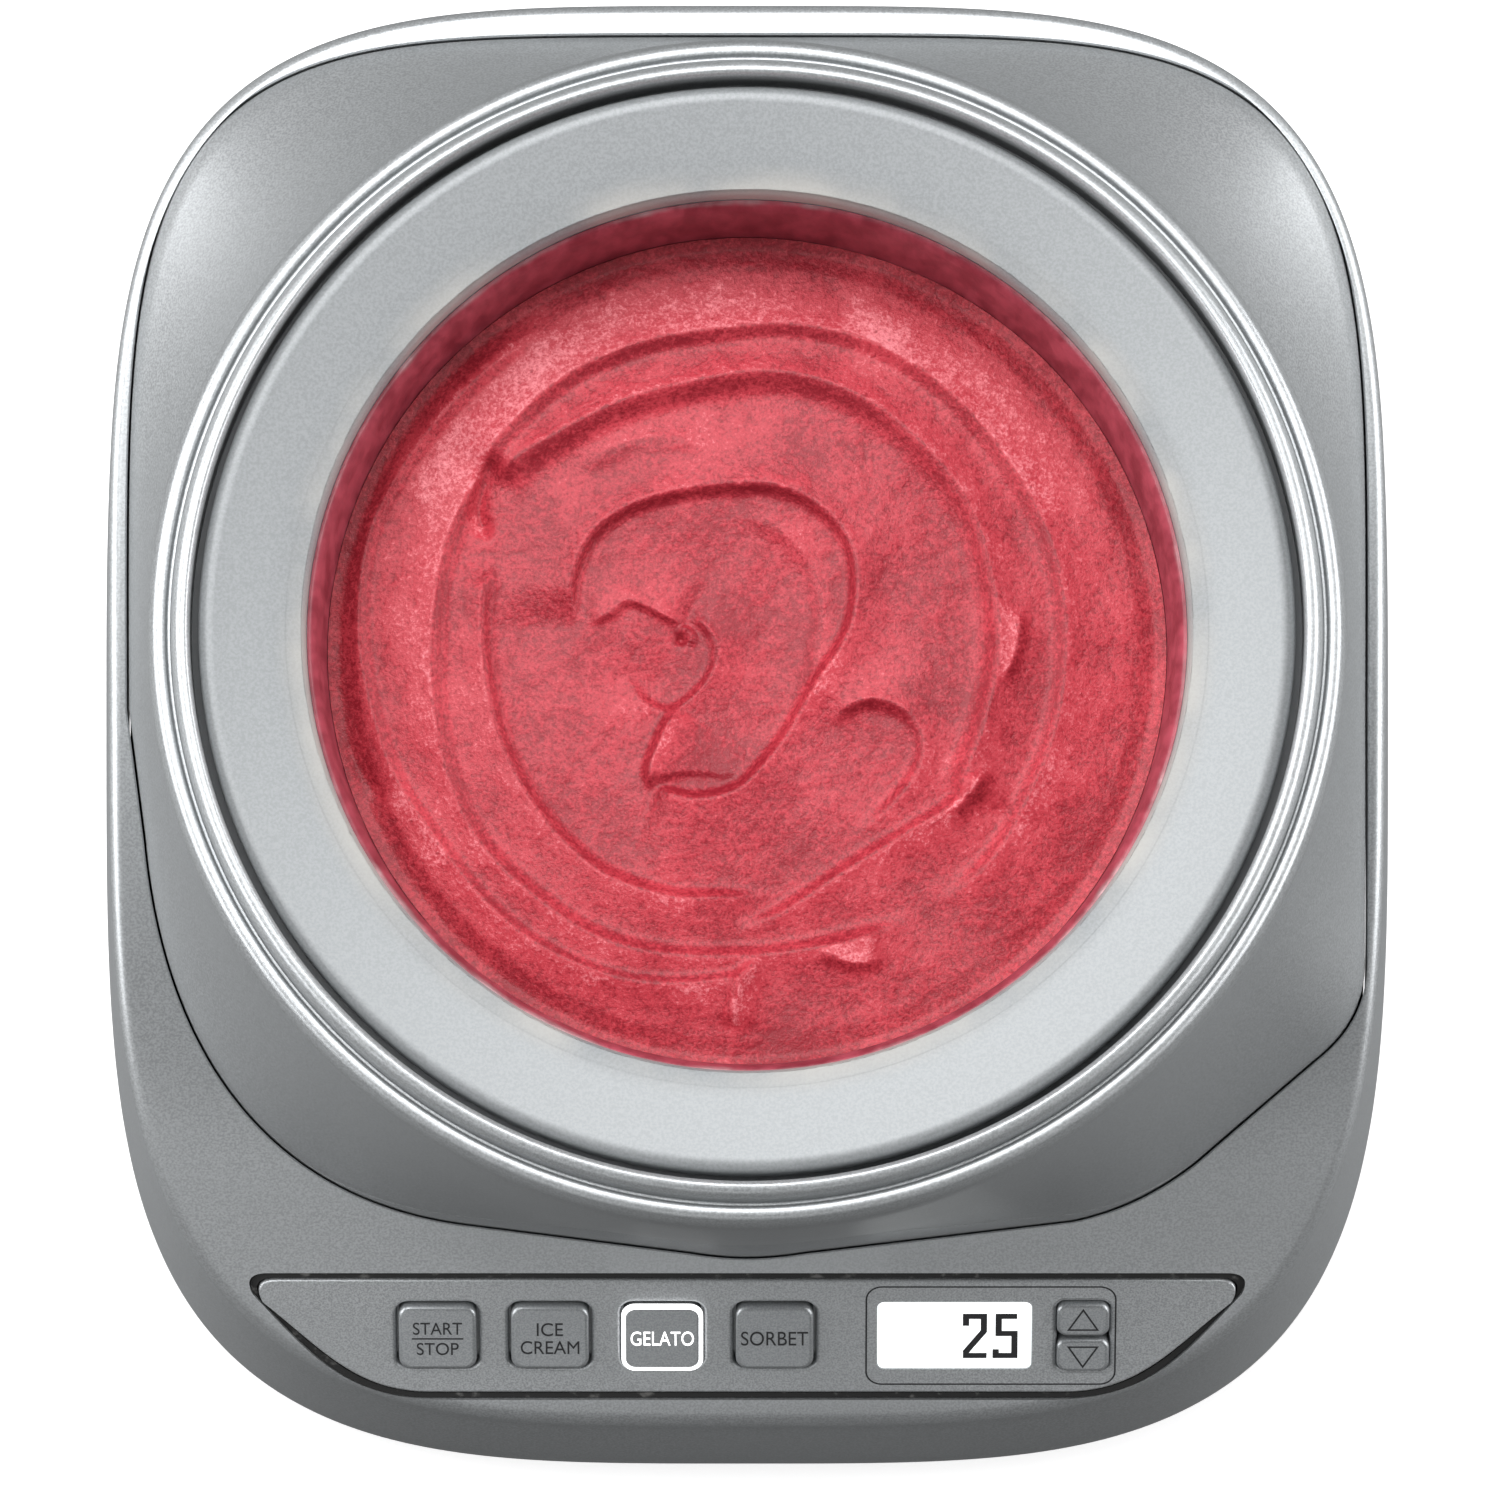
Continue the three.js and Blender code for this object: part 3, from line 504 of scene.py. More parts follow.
@dataclass(frozen=True)
class SorbetFinish:
    """Churned red sorbet: dark red with painted shade in the hollows, pale on the crests with icy frosting
    and a painted highlight, icy grain all over.

    Attributes:
        name: The material's name.
        deep_and_shade: Colour of the hollows, where it is partly painted shade, and of the flecks.
        body: Main colour.
        frost_and_highlight: Colour of the crests, partly icy frosting and partly a painted highlight.
        painted_light: Name of the vertex attribute that holds the painted highlight and shade, from the
            crests to the hollows.
    """

    name: str
    deep_and_shade: Colour
    body: Colour
    frost_and_highlight: Colour
    painted_light: str

    def make(self) -> bpy.types.Material:
        """Builds the material.

        Returns:
            The sorbet's material.
        """
        g = Graph(self.name)
        painted_light = g.add("ShaderNodeAttribute", {"attribute_name": self.painted_light}, {}, "Fac")
        grain = g.noise(0.0011, 4.0, 0.7)
        ice = g.noise(0.0005, 2.0, 0.7)
        patch = g.noise(0.016, 4.0, 0.55)
        # The vertex attribute is painted light: highlight on the crests and shade in the hollows and on
        # steep faces; the noises add icy grain and patches.
        pale = painted_light.band(0.2, 0.95) * 0.6 + (patch - 0.5) * 0.9 + (grain - 0.5) * 1.3 + (ice - 0.5) * 1.1
        tone = g.blend(pale.band(-0.25, 0.35), self.deep_and_shade, self.body)
        frost_with_highlight = g.blend(pale.band(0.3, 0.95), tone, self.frost_and_highlight)
        flecks = (1 - g.spots(330.0).band(0.05, 0.14)) * patch.band(0.42, 0.6) * 0.6
        flecked = g.blend(flecks, frost_with_highlight, self.deep_and_shade)
        rough = (grain - 0.5) * 0.35 + 0.42
        normal = g.bump(ice, 0.00012, 0.6, g.bump(grain, 0.00035, 0.8))
        return g.finish(
            Base_Color=flecked, Roughness=rough, Normal=normal,
            Specular_IOR_Level=0.32, Coat_Weight=0.08, Coat_Roughness=0.3,
        )


@dataclass(frozen=True)
class SmearedLiner:
    """The bowl's aluminium liner, smeared with sorbet up to near its top.

    Attributes:
        name: The material's name.
        metal: The aluminium.
        smear: A thin smear of sorbet.
        thick: A thicker smear.
        top: Height above which the wall is clean, in metres.
    """

    name: str
    metal: Colour
    smear: Colour
    thick: Colour
    top: float

    def make(self) -> bpy.types.Material:
        """Builds the material.

        Returns:
            The liner's material.
        """
        g = Graph(self.name)
        height = g.add("ShaderNodeSeparateXYZ", {}, {0: g.place}, "Z")
        ragged = g.noise(0.012, 4.0, 0.6)
        streak = g.noise(0.004, 3.0, 0.6, g.stretched((1.0, 1.0, 0.35)))
        covered = 1 - (height + (ragged - 0.5) * 0.006).band(self.top - 0.004, self.top)
        tone = g.blend(streak.band(0.3, 0.75), self.thick, self.smear)
        colour = g.blend(covered, self.metal, tone)
        rough = covered * 0.12 + (streak - 0.5) * 0.2 + 0.34
        return g.finish(
            Base_Color=colour, Metallic=1 - covered, Roughness=rough, Normal=g.bump(streak, 0.0004, 0.5)
        )


SILVER = MetallicPaint("housing_paint", (0.40, 0.415, 0.425), roughness=0.42, metallic=0.65)
FASCIA_SILVER = MetallicPaint("fascia_paint", (0.40, 0.415, 0.425), 0.44, 0.65, 0.00034, 0.22)
KEY_SILVER = MetallicPaint("button_paint", (0.33, 0.345, 0.355), 0.36, 0.6, 0.00034, 0.16)
# The rim's pale inner edge is icy frosting with a painted highlight.
RIM_SILVER = RimPaint("rim_paint", (0.235, 0.246, 0.253), (0.42, 0.4, 0.37), 0.0754)
BLACK_MOULDING = Moulding("black_moulding", (0.012, 0.012, 0.013), 0.55)
WELL_MOULDING = Moulding("well_moulding", (0.23, 0.24, 0.25), 0.6)
BOWL_MOULDING = Moulding("bowl_moulding", (0.62, 0.64, 0.65), 0.45, Grain.SATIN)
HUB_MOULDING = Moulding("hub_moulding", (0.09, 0.1, 0.11), 0.5)
RUBBER = Moulding("rubber_black", (0.01, 0.01, 0.01), 0.8, Grain.CAST, 0.2)
NYLON = Moulding("nylon", (0.72, 0.69, 0.6), 0.4, Grain.SMOOTH, 0.05)
GEL = Moulding("gel", (0.2, 0.4, 0.62), 0.25, Grain.SMOOTH, 0.3)
STEEL = DrawnMetal("steel", (0.56, 0.57, 0.58), 0.3)
LAMINATION = DrawnMetal("lamination", (0.2, 0.21, 0.22), 0.45, (1.0, 1.0, 14.0))
BRASS = DrawnMetal("brass", (0.6, 0.4, 0.14), 0.34)
COPPER = DrawnMetal("copper", (0.55, 0.2, 0.08), 0.4, (1.0, 1.0, 30.0))
BOARD = CircuitBoard("board")
TAPE = Moulding("transformer", (0.6, 0.42, 0.06), 0.45, Grain.SATIN)
RELAY = Moulding("relay", (0.03, 0.1, 0.35), 0.3, Grain.SATIN)
LCD_CASE = Moulding("lcd_case", (0.75, 0.77, 0.76), 0.35, Grain.SATIN, 0.05)
LAMP_OFF = Moulding("lamp_off", (0.8, 0.79, 0.7), 0.3, Grain.SMOOTH, 0.05)
SCREEN = Glow("display", (0.93, 0.96, 0.96), 1.1)
LAMP = Glow("lamp", (1.0, 1.0, 0.94), 3.0)
LIT_PRINT = Glow("lit_print", (1.0, 1.0, 1.0), 1.5)
BLACK_INK = Ink("black_ink")
# The sorbet's pale crests and dark hollows carry painted highlight and painted shade.
SORBET = SorbetFinish("sorbet", (0.24, 0.01, 0.02), (0.48, 0.04, 0.058), (0.78, 0.23, 0.26), "painted_light")
SMEARED_LINER = SmearedLiner(
    "liner_aluminium", (0.5, 0.46, 0.46), (0.33, 0.05, 0.075), (0.17, 0.017, 0.03), 0.2165
)


# ---------------------------------------------------------------- mesh helpers


def to_mesh(name: str, points: np.ndarray, faces: Sequence[Face],
            sharp: float = SHARP) -> bpy.types.Object:
    """Makes a smooth-shaded object whose faces point outward.

    Args:
        name: The object's name.
        points: Its corners in metres, one row each.
        faces: Corner numbers of each face.
        sharp: Edges that turn by more than this many degrees stay sharp.

    Returns:
        The new object.
    """
    mesh = bpy.data.meshes.new(name)
    mesh.from_pydata([tuple(p) for p in points], [], [tuple(f) for f in faces])
    return dress_mesh(name, mesh, sharp)


def dress_mesh(name: str, mesh: bpy.types.Mesh, sharp: float = SHARP) -> bpy.types.Object:
    """Merges a mesh's doubles, turns its faces out, shades it smooth and puts it in the scene.

    Args:
        name: The object's name.
        mesh: The mesh.
        sharp: Edges that turn by more than this many degrees stay sharp.

    Returns:
        The new object.
    """
    work = bmesh.new()
    work.from_mesh(mesh)
    bmesh.ops.remove_doubles(work, verts=work.verts, dist=1e-7)
    bmesh.ops.recalc_face_normals(work, faces=work.faces)
    if work.calc_volume(signed=True) < 0:
        bmesh.ops.reverse_faces(work, faces=work.faces)
    work.to_mesh(mesh)
    work.free()
    mesh.shade_smooth()
    mesh.set_sharp_from_angle(angle=math.radians(sharp))
    thing = bpy.data.objects.new(name, mesh)
    bpy.context.scene.collection.objects.link(thing)
    return thing


def strip(low: int, high: int, count: int) -> list[Face]:
    """Faces between two closed rows of corners.

    Args:
        low: Number of the first corner of one row.
        high: Number of the first corner of the other row.
        count: How many corners a row has.

    Returns:
        One face for each stretch.
    """
    return [(low + i, low + (i + 1) % count, high + (i + 1) % count, high + i) for i in range(count)]


def loft(loops: Sequence[np.ndarray], wrapped: bool) -> tuple[np.ndarray, list[Face]]:
    """Skins a row of loops with the same number of points.

    Args:
        loops: The loops, each with one point a row.
        wrapped: Whether the last loop joins the first.

    Returns:
        The points and the faces.
    """
    count = len(loops[0])
    faces: list[Face] = []
    for j in range(len(loops) if wrapped else len(loops) - 1):
        faces += strip(j * count, ((j + 1) % len(loops)) * count, count)
    return np.vstack(loops), faces


def capped(loops: Sequence[np.ndarray]) -> tuple[np.ndarray, list[Face]]:
    """Skins a row of loops and closes both ends.

    Args:
        loops: The loops, each with one point a row.

    Returns:
        The points and the faces.
    """
    points, faces = loft(loops, False)
    count = len(loops[0])
    last = len(points) - count
    return points, [*faces, tuple(range(count)), tuple(range(last, last + count))]


def seat(piece: bpy.types.Object, finish: bpy.types.Material, body: str, *nodes: str) -> None:
    """Gives a piece its material and its moving body, and hides the solids that it stands for.

    Args:
        piece: The piece.
        finish: Its material, which knows the record's material slot that it stands for.
        body: The body that it rides on.
        *nodes: The solids that it replaces.
    """
    piece.data.materials.clear()
    piece.data.materials.append(finish)
    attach(piece, body)
    finish["slot"] not in UNLISTED
    if nodes:
        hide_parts(*nodes)
    LOG.info("%s rides on %s, %d faces", piece.name, body, len(piece.data.polygons))


def paint_node(node: str, finish: bpy.types.Material) -> None:
    """Dresses a solid that is kept as it is.

    Args:
        node: Its name.
        finish: Its material.
    """
    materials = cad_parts[node].data.materials
    materials.clear()
    materials.append(finish)
    LOG.info("%s keeps its solid", node)


def arc(centre: Point2, radius: float, start: float, end: float, steps: int) -> Outline:
    """Points on an arc.

    Args:
        centre: Its centre.
        radius: Its radius.
        start: First angle in degrees.
        end: Last angle in degrees.
        steps: How many stretches it has.

    Returns:
        The points, both ends included.
    """
    angles = [math.radians(start + (end - start) * i / steps) for i in range(steps + 1)]
    return [(centre[0] + radius * math.cos(a), centre[1] + radius * math.sin(a)) for a in angles]


def bezier(control: Sequence[Point2], steps: int) -> Outline:
    """Points on a Bezier curve of any degree.

    Args:
        control: Its control points.
        steps: How many stretches it has.

    Returns:
        The points, both ends included.
    """
    degree = len(control) - 1
    found: Outline = []
    for i in range(steps + 1):
        t = i / steps
        weight = [math.comb(degree, k) * t**k * (1 - t) ** (degree - k) for k in range(degree + 1)]
        found.append(tuple(sum(w * p[k] for w, p in zip(weight, control)) for k in range(2)))
    return found


def rounded_rectangle(width: float, height: float, radius: float,
                      x: float = 0.0, y: float = 0.0) -> Outline:
    """A rounded rectangle.

    Args:
        width: Its width.
        height: Its height.
        radius: Its corners' radius.
        x: Its centre.
        y: Its centre.

    Returns:
        Its outline, anticlockwise.
    """
    w, h = width / 2 - radius, height / 2 - radius
    corners = [(x + w, y - h, -90), (x + w, y + h, 0), (x - w, y + h, 90), (x - w, y - h, 180)]
    return [p for cx, cy, a in corners for p in arc((cx, cy), radius, a, a + 90, 8)]


def soften(profile: Sequence[Point3], steps: int = 6) -> Outline:
    """Rounds the corners of an outline.

    Args:
        profile: Points as x, y and how far from the corner its rounding starts, 0 for a sharp one.
        steps: How many stretches each rounding has.

    Returns:
        The outline's points.
    """
    found: Outline = []
    for i, (x, y, cut) in enumerate(profile):
        if cut == 0:
            found.append((x, y))
            continue
        here = Vector((x, y))
        before = Vector(profile[i - 1][:2])
        after = Vector(profile[(i + 1) % len(profile)][:2])
        start = here + (before - here).normalized() * cut
        end = here + (after - here).normalized() * cut
        found += bezier([tuple(start), (x, y), tuple(end)], steps)
    return found


# ---------------------------------------------------------------- Geometry Nodes


class NodeTree:
    """A Geometry Nodes tree, written socket by socket."""

    def __init__(self, name: str) -> None:
        """Starts a tree that takes and gives a geometry.

        Args:
            name: The tree's name.
        """
        self.tree = bpy.data.node_groups.new(name, "GeometryNodeTree")
        self.names: dict[str, str] = {}
        self.socket("Geometry", "NodeSocketGeometry")
        self.tree.interface.new_socket("Geometry", in_out="OUTPUT", socket_type="NodeSocketGeometry")
        self.given = self.tree.nodes.new("NodeGroupInput")
        self.result = self.tree.nodes.new("NodeGroupOutput")

    def socket(self, name: str, kind: str) -> None:
        """Adds a named input.

        Args:
            name: The input's name.
            kind: Its socket type.
        """
        self.names[name] = self.tree.interface.new_socket(name, in_out="INPUT", socket_type=kind).identifier

    def add(self, kind: str, settings: dict[str, Any], inputs: dict[Any, Any]) -> bpy.types.Node:
        """Adds a node.

        Args:
            kind: The node's type.
            settings: Its properties.
            inputs: Socket name or number to a value or an output socket.

        Returns:
            The node.
        """
        node = self.tree.nodes.new(kind)
        for key, value in settings.items():
            setattr(node, key, value)
        for key, value in inputs.items():
            if isinstance(value, bpy.types.NodeSocket):
                self.tree.links.new(value, node.inputs[key])
            else:
                node.inputs[key].default_value = value
        return node

    def calculate(self, operation: str, first: Any, second: Any = 0.0) -> bpy.types.NodeSocket:
        """Adds a Math node.

        Args:
            operation: What it does.
            first: Its first value or socket.
            second: Its second value or socket.

        Returns:
            Its result.
        """
        return self.add("ShaderNodeMath", {"operation": operation}, {0: first, 1: second}).outputs[0]

    def close(self, geometry: bpy.types.NodeSocket) -> None:
        """Realises the instances, sets the material and ends the tree.

        Args:
            geometry: What the tree has made.
        """
        real = self.add("GeometryNodeRealizeInstances", {}, {"Geometry": geometry})
        material = self.given.outputs["Material"]
        inputs = {"Geometry": real.outputs[0], "Material": material}
        dressed = self.add("GeometryNodeSetMaterial", {}, inputs)
        self.tree.links.new(dressed.outputs[0], self.result.inputs[0])

    def run(self, start: bpy.types.Mesh, values: dict[str, Any], name: str) -> bpy.types.Mesh:
        """Runs the tree on a mesh and returns the plain mesh that it makes.

        Args:
            start: The mesh that goes in.
            values: The named inputs.
            name: The new mesh's name.

        Returns:
            The result, with no modifier left.
        """
        carrier = bpy.data.objects.new(f"{name}_carrier", start)
        bpy.context.scene.collection.objects.link(carrier)
        modifier = carrier.modifiers.new("build", "NODES")
        modifier.node_group = self.tree
        for key, value in values.items():
            modifier[self.names[key]] = value
        graph = bpy.context.evaluated_depsgraph_get()
        made = bpy.data.meshes.new_from_object(carrier.evaluated_get(graph))
        made.name = name
        bpy.data.objects.remove(carrier)
        return made


class TurningLathe:
    """Turns a profile of radius and height about the Z axis, as on a lathe, with Geometry Nodes."""

    def __init__(self) -> None:
        """Builds the tree once for all turned pieces."""
        t = NodeTree("turning_lathe")
        t.socket("Stretches", "NodeSocketInt")
        t.socket("Material", "NodeSocketMaterial")
        profile, around = t.given.outputs["Geometry"], t.given.outputs["Stretches"]
        size = t.add("GeometryNodeAttributeDomainSize", {"component": "MESH"}, {"Geometry": profile})
        columns = t.calculate("ADD", around, 1.0)
        inputs = {"Vertices X": size.outputs["Point Count"], "Vertices Y": columns}
        grid = t.add("GeometryNodeMeshGrid", {}, inputs)
        index = t.add("GeometryNodeInputIndex", {}, {}).outputs[0]
        row = t.calculate("FLOOR", t.calculate("DIVIDE", t.calculate("ADD", index, 0.5), columns))
        column = t.calculate("SUBTRACT", index, t.calculate("MULTIPLY", row, columns))
        angle = t.calculate("MULTIPLY", t.calculate("DIVIDE", column, around), TURN)
        position = t.add("GeometryNodeInputPosition", {}, {}).outputs[0]
        inputs = {"Geometry": profile, "Index": row}
        taken = t.add("GeometryNodeSampleIndex", {"data_type": "FLOAT_VECTOR"}, inputs)
        sampled = next(s for s in taken.inputs if s.name == "Value" and s.type == "VECTOR")
        t.tree.links.new(position, sampled)
        vector = next(s for s in taken.outputs if s.type == "VECTOR")
        inputs = {"Vector": vector, "Angle": angle}
        turned = t.add("ShaderNodeVectorRotate", {"rotation_type": "Z_AXIS"}, inputs)
        inputs = {"Geometry": grid.outputs["Mesh"], "Position": turned.outputs[0]}
        placed = t.add("GeometryNodeSetPosition", {}, inputs)
        inputs = {"Geometry": placed.outputs[0], "Distance": 1e-6}
        merged = t.add("GeometryNodeMergeByDistance", {}, inputs)
        t.close(merged.outputs[0])
        self.tree = t

    def turn(self, name: str, profile: Outline, finish: bpy.types.Material, stretches: int = 180,
             sharp: float = SHARP) -> bpy.types.Object:
        """Turns one piece.

        Args:
            name: The piece's name.
            profile: Radius and height in millimetres. It ends on the axis, or closes on itself.
            finish: Its material.
            stretches: How many flats it has round the axis.
            sharp: Edges that turn by more than this many degrees stay sharp.

        Returns:
            The turned piece.
        """
        points = profile if profile[0][0] == 0 else [*profile, profile[0]]
        start = bpy.data.meshes.new(f"{name}_profile")
        start.from_pydata([(r * MM, 0.0, z * MM) for r, z in points], [], [])
        values = {"Stretches": stretches, "Material": finish}
        return dress_mesh(name, self.tree.run(start, values, name), sharp)


class PlacedCopies:
    """Sets copies of a small piece at given places, or round a circle, with Geometry Nodes."""

    def __init__(self) -> None:
        """Builds the tree once for all such rows."""
        t = NodeTree("placed_copies")
        t.socket("Piece", "NodeSocketObject")
        t.socket("Turn", "NodeSocketFloat")
        t.socket("Material", "NodeSocketMaterial")
        info = t.add("GeometryNodeObjectInfo", {}, {"Object": t.given.outputs["Piece"]})
        index = t.add("GeometryNodeInputIndex", {}, {}).outputs[0]
        angle = t.calculate("MULTIPLY", index, t.given.outputs["Turn"])
        turn = t.add("ShaderNodeCombineXYZ", {}, {"Z": angle}).outputs[0]
        places = t.given.outputs["Geometry"]
        inputs = {"Points": places, "Instance": info.outputs["Geometry"], "Rotation": turn}
        t.close(t.add("GeometryNodeInstanceOnPoints", {}, inputs).outputs[0])
        self.tree = t

    def at(self, name: str, piece: bpy.types.Object, places: Sequence[Sequence[float]],
           finish: bpy.types.Material, turn: float = 0.0) -> bpy.types.Object:
        """Sets one copy at each place and takes the pattern piece away.

        Args:
            name: The result's name.
            piece: The small piece, built round the origin in metres.
            places: The places in millimetres.
            finish: The copies' material.
            turn: How far each copy is turned past the one before it, in radians.

        Returns:
            One object with all the copies.
        """
        start = bpy.data.meshes.new(f"{name}_places")
        start.from_pydata([tuple(c * MM for c in place) for place in places], [], [])
        made = self.tree.run(start, {"Piece": piece, "Turn": turn, "Material": finish}, name)
        bpy.data.objects.remove(piece)
        return dress_mesh(name, made)


# ---------------------------------------------------------------- workshop


@dataclass
class Workshop:
    """The tools and finishes that all sub-assemblies share."""

    lathe: TurningLathe = field(default_factory=TurningLathe)
    copies: PlacedCopies = field(default_factory=PlacedCopies)
    made: dict[str, bpy.types.Material] = field(default_factory=dict)

    def finish(self, wanted: Finish) -> bpy.types.Material:
        """Makes a finish, or gives the one already made.

        Args:
            wanted: The finish.

        Returns:
            Its material.
        """
        if wanted.name not in self.made:
            self.made[wanted.name] = wanted.make()
            self.made[wanted.name]["slot"] = wanted.name
        return self.made[wanted.name]

    def paint(self, finishes: dict[str, Finish]) -> None:
        """Dresses solids that are kept as they are.

        Args:
            finishes: Each solid's name and its finish.
        """
        for node, finish in finishes.items():
            paint_node(node, self.finish(finish))

    def turn(self, name: str, finish: Finish, profile: Outline, body: str, node: str,
             stretches: int = 180, sharp: float = SHARP) -> None:
        """Turns one piece about the bowl's axis and seats it.

        Args:
            name: The piece's name.
            finish: Its finish.
            profile: Radius and height in millimetres.
            body: The body that it rides on.
            node: The solid that it replaces.
            stretches: How many flats it has round the axis.
            sharp: Edges that turn by more than this many degrees stay sharp.
        """
        material = self.finish(finish)
        seat(self.lathe.turn(name, profile, material, stretches, sharp), material, body, node)

    def set_out(self, name: str, finish: Finish, pattern: bpy.types.Object, places: Sequence[Point3],
                node: str, turn: float = 0.0) -> None:
        """Sets copies of a pattern at places on the base and seats them as one piece.

        Args:
            name: The piece's name.
            finish: Its finish.
            pattern: The small piece to copy.
            places: The places in millimetres.
            node: The solid that it replaces.
            turn: How far each copy is turned past the one before it, in radians.
        """
        material = self.finish(finish)
        seat(self.copies.at(name, pattern, places, material, turn), material, "base", node)

    def screw(self, name: str, head: float, head_height: float, shank: float, length: float,
              place: Point3, node: str) -> None:
        """A pan-head screw pointing up, with a cross recess and thread rings, seated on the base.

        Args:
            name: The piece's name.
            head: The head's radius.
            head_height: The head's height.
            shank: The shank's radius.
            length: From the head's face to the shank's end.
            place: Where the middle of the head's face is.
            node: The solid that it replaces.
        """
        pitch, thread_depth, taper, recess = 0.8, 0.3, 0.7, head_height * 0.7
        root = shank - thread_depth
        crown = bezier([(head * 0.55, 0), (head, 0), (head, head_height * 0.6)], 8)
        thread = [(root, head_height)]
        for turn in range(int((length - head_height - 2) / pitch)):
            z = head_height + pitch + turn * pitch
            thread += [(root, z), (shank, z + 0.3), (root, z + 0.6)]
        profile = [(0, 0), *crown, (head, head_height), *thread, (0, length + shank * 0.6)]
        body = self.lathe.turn(f"{name}_pattern", profile, self.finish(STEEL), 32, 28)
        for size in ((head * 1.15, head * 0.26), (head * 0.26, head * 1.15)):
            wide = rounded_rectangle(*size, 0.1)
            narrow = rounded_rectangle(size[0] * taper, size[1] * taper, 0.07)
            stations = ((wide, -0.5), (wide, 0.05), (narrow, recess))
            loops = [np.array([(x, y, z) for x, y in shape]) * MM for shape, z in stations]
            carve(body, to_mesh(f"{name}_bit", *capped(loops)))
        self.set_out(name, STEEL, body, [place], node)


# ---------------------------------------------------------------- housing


def mix(low: Any, high: Any, t: float) -> Any:
    """Returns the value at t between low and high."""
    return low + (high - low) * t


# X and Y of the posts and screws that carry the motor's plate.
HANGERS = ((40.0, 22.0), (-44.0, 22.0), (40.0, -56.0))


@dataclass(frozen=True)
class HousingForm:
    """The outlines and heights that the housing's shells share, in millimetres.

    Attributes:
        half_width: Half the width at the bottom.
        half_depth: Half the depth at the bottom.
        top_half_width: Half the width at the band's top edge.
        top_front: How far the deck's front edge is from the bowl's axis.
        top_back: How far the back's top edge is from the bowl's axis.
        slope: The deck's slope.
        deck_edge: Y and height of the deck's front edge.
        band_start: Y where the plane deck turns into the curved side band.
        band_rise: How far the band rises above that place in all.
        brow_peak: Height of the shoulder's edge over the middle of the deck.
        brow_fall: How fast the brow falls to the sides.
        neck_radius: Radius of the round neck.
        neck_top: Its height.
        flare: How suddenly the neck flares into the shoulder.
        steps: How many points a loop has.
    """

    half_width: float = 116.0
    half_depth: float = 123.75
    top_half_width: float = 112.8
    top_front: float = 119.9
    top_back: float = 123.6
    slope: float = math.radians(42)
    deck_edge: Point2 = (-120.0, 42.0)
    band_start: float = -85.0
    band_rise: float = 62.0
    brow_peak: float = 89.0
    brow_fall: float = 0.127
    neck_radius: float = 98.5
    neck_top: float = 212.0
    flare: float = 2.4
    steps: int = 480

    @staticmethod
    def round_square(angle: np.ndarray, half: float, depths: Point2, powers: Point2) -> np.ndarray:
        """An outline like a square with very round corners.

        Args:
            angle: Angles round the bowl's axis.
            half: Half its width.
            depths: How far it reaches to the front and to the back.
            powers: How square its front and its back are.

        Returns:
            Its distance from the axis at each angle.
        """
        front = np.sin(angle) < 0
        depth = np.where(front, depths[0], depths[1])
        power = np.where(front, powers[0], powers[1])
        total = np.abs(np.cos(angle) / half) ** power + np.abs(np.sin(angle) / depth) ** power
        return total ** (-1 / power)

    def bottom(self, angle: np.ndarray) -> np.ndarray:
        """Distance of the walls' foot from the axis."""
        return self.round_square(angle, self.half_width, (self.half_depth, self.half_depth), (3.6, 3.8))

    def top(self, angle: np.ndarray) -> np.ndarray:
        """Distance of the band's outer edge from the axis."""
        return self.round_square(angle, self.top_half_width, (self.top_front, self.top_back), (3.6, 3.95))

    def shoulder_front(self) -> Outline:
        """The shoulder's front edge: a blunt V, a tight right corner and a long round left one.

        Returns:
            Its points from the left side to the right side.
        """
        legs: list[list[Point2]] = [
            [(-109, 0), (-106.2, -22)],
            [(-106.2, -22), (-103, -60), (-84, -82.5), (-50, -86.4)],
            [(-50, -86.4), (-10, -91)],
            [(-10, -91), (0, -92.6), (10, -91)],
            [(10, -91), (58, -85.8)],
            [(58, -85.8), (70, -83.5), (80, -76)],
            [(80, -76), (101, -59)],
            [(101, -59), (109, -53), (109.3, -44)],
            [(109.3, -44), (109, 0)],
        ]
        return [p for leg in legs for p in bezier(leg, 24)[1:]]

    def crease(self, angle: np.ndarray) -> np.ndarray:
        """Distance of the shoulder's edge from the axis.

        Args:
            angle: Angles round the axis.

        Returns:
            The distance at each angle.
        """
        path = np.array([(-109.0, 0.0), *self.shoulder_front()])
        turn = np.mod(np.arctan2(path[:, 1], path[:, 0]), TURN)
        turn[0], turn[-1] = math.pi, TURN
        front = np.interp(np.mod(angle, TURN), turn, np.hypot(path[:, 0], path[:, 1]))
        back = self.round_square(angle, 109.0, (117.6, 117.6), (4.6, 4.6))
        return np.where(np.sin(angle) < -1e-9, front, back)

    def deck_plane(self, y: Any) -> Any:
        """Height of the deck's plane at y."""
        return self.deck_edge[1] + (y - self.deck_edge[0]) * math.tan(self.slope)

    def band(self, y: np.ndarray) -> np.ndarray:
        """Height of the deck, and of the side band that rises more and more gently behind it.

        Args:
            y: Where along the depth.

        Returns:
            The height.
        """
        past = np.maximum(y - self.band_start, 0)
        rise = self.band_rise * (1 - np.exp(-math.tan(self.slope) * past / self.band_rise))
        return np.where(y < self.band_start, self.deck_plane(y), self.deck_plane(self.band_start) + rise)

    def crease_height(self, x: np.ndarray, y: np.ndarray) -> np.ndarray:
        """Height of the shoulder's edge: the band's height, raised to a brow over the middle of the deck.

        Args:
            x: Where along the width.
            y: Where along the depth.

        Returns:
            The height.
        """
        band = self.band(y)
        brow = self.brow_peak - self.brow_fall * np.abs(x) * np.tanh(np.abs(x) / 6)
        return np.where(y < 0, 0.5 * (band + brow + np.sqrt((band - brow) ** 2 + 1)), band)

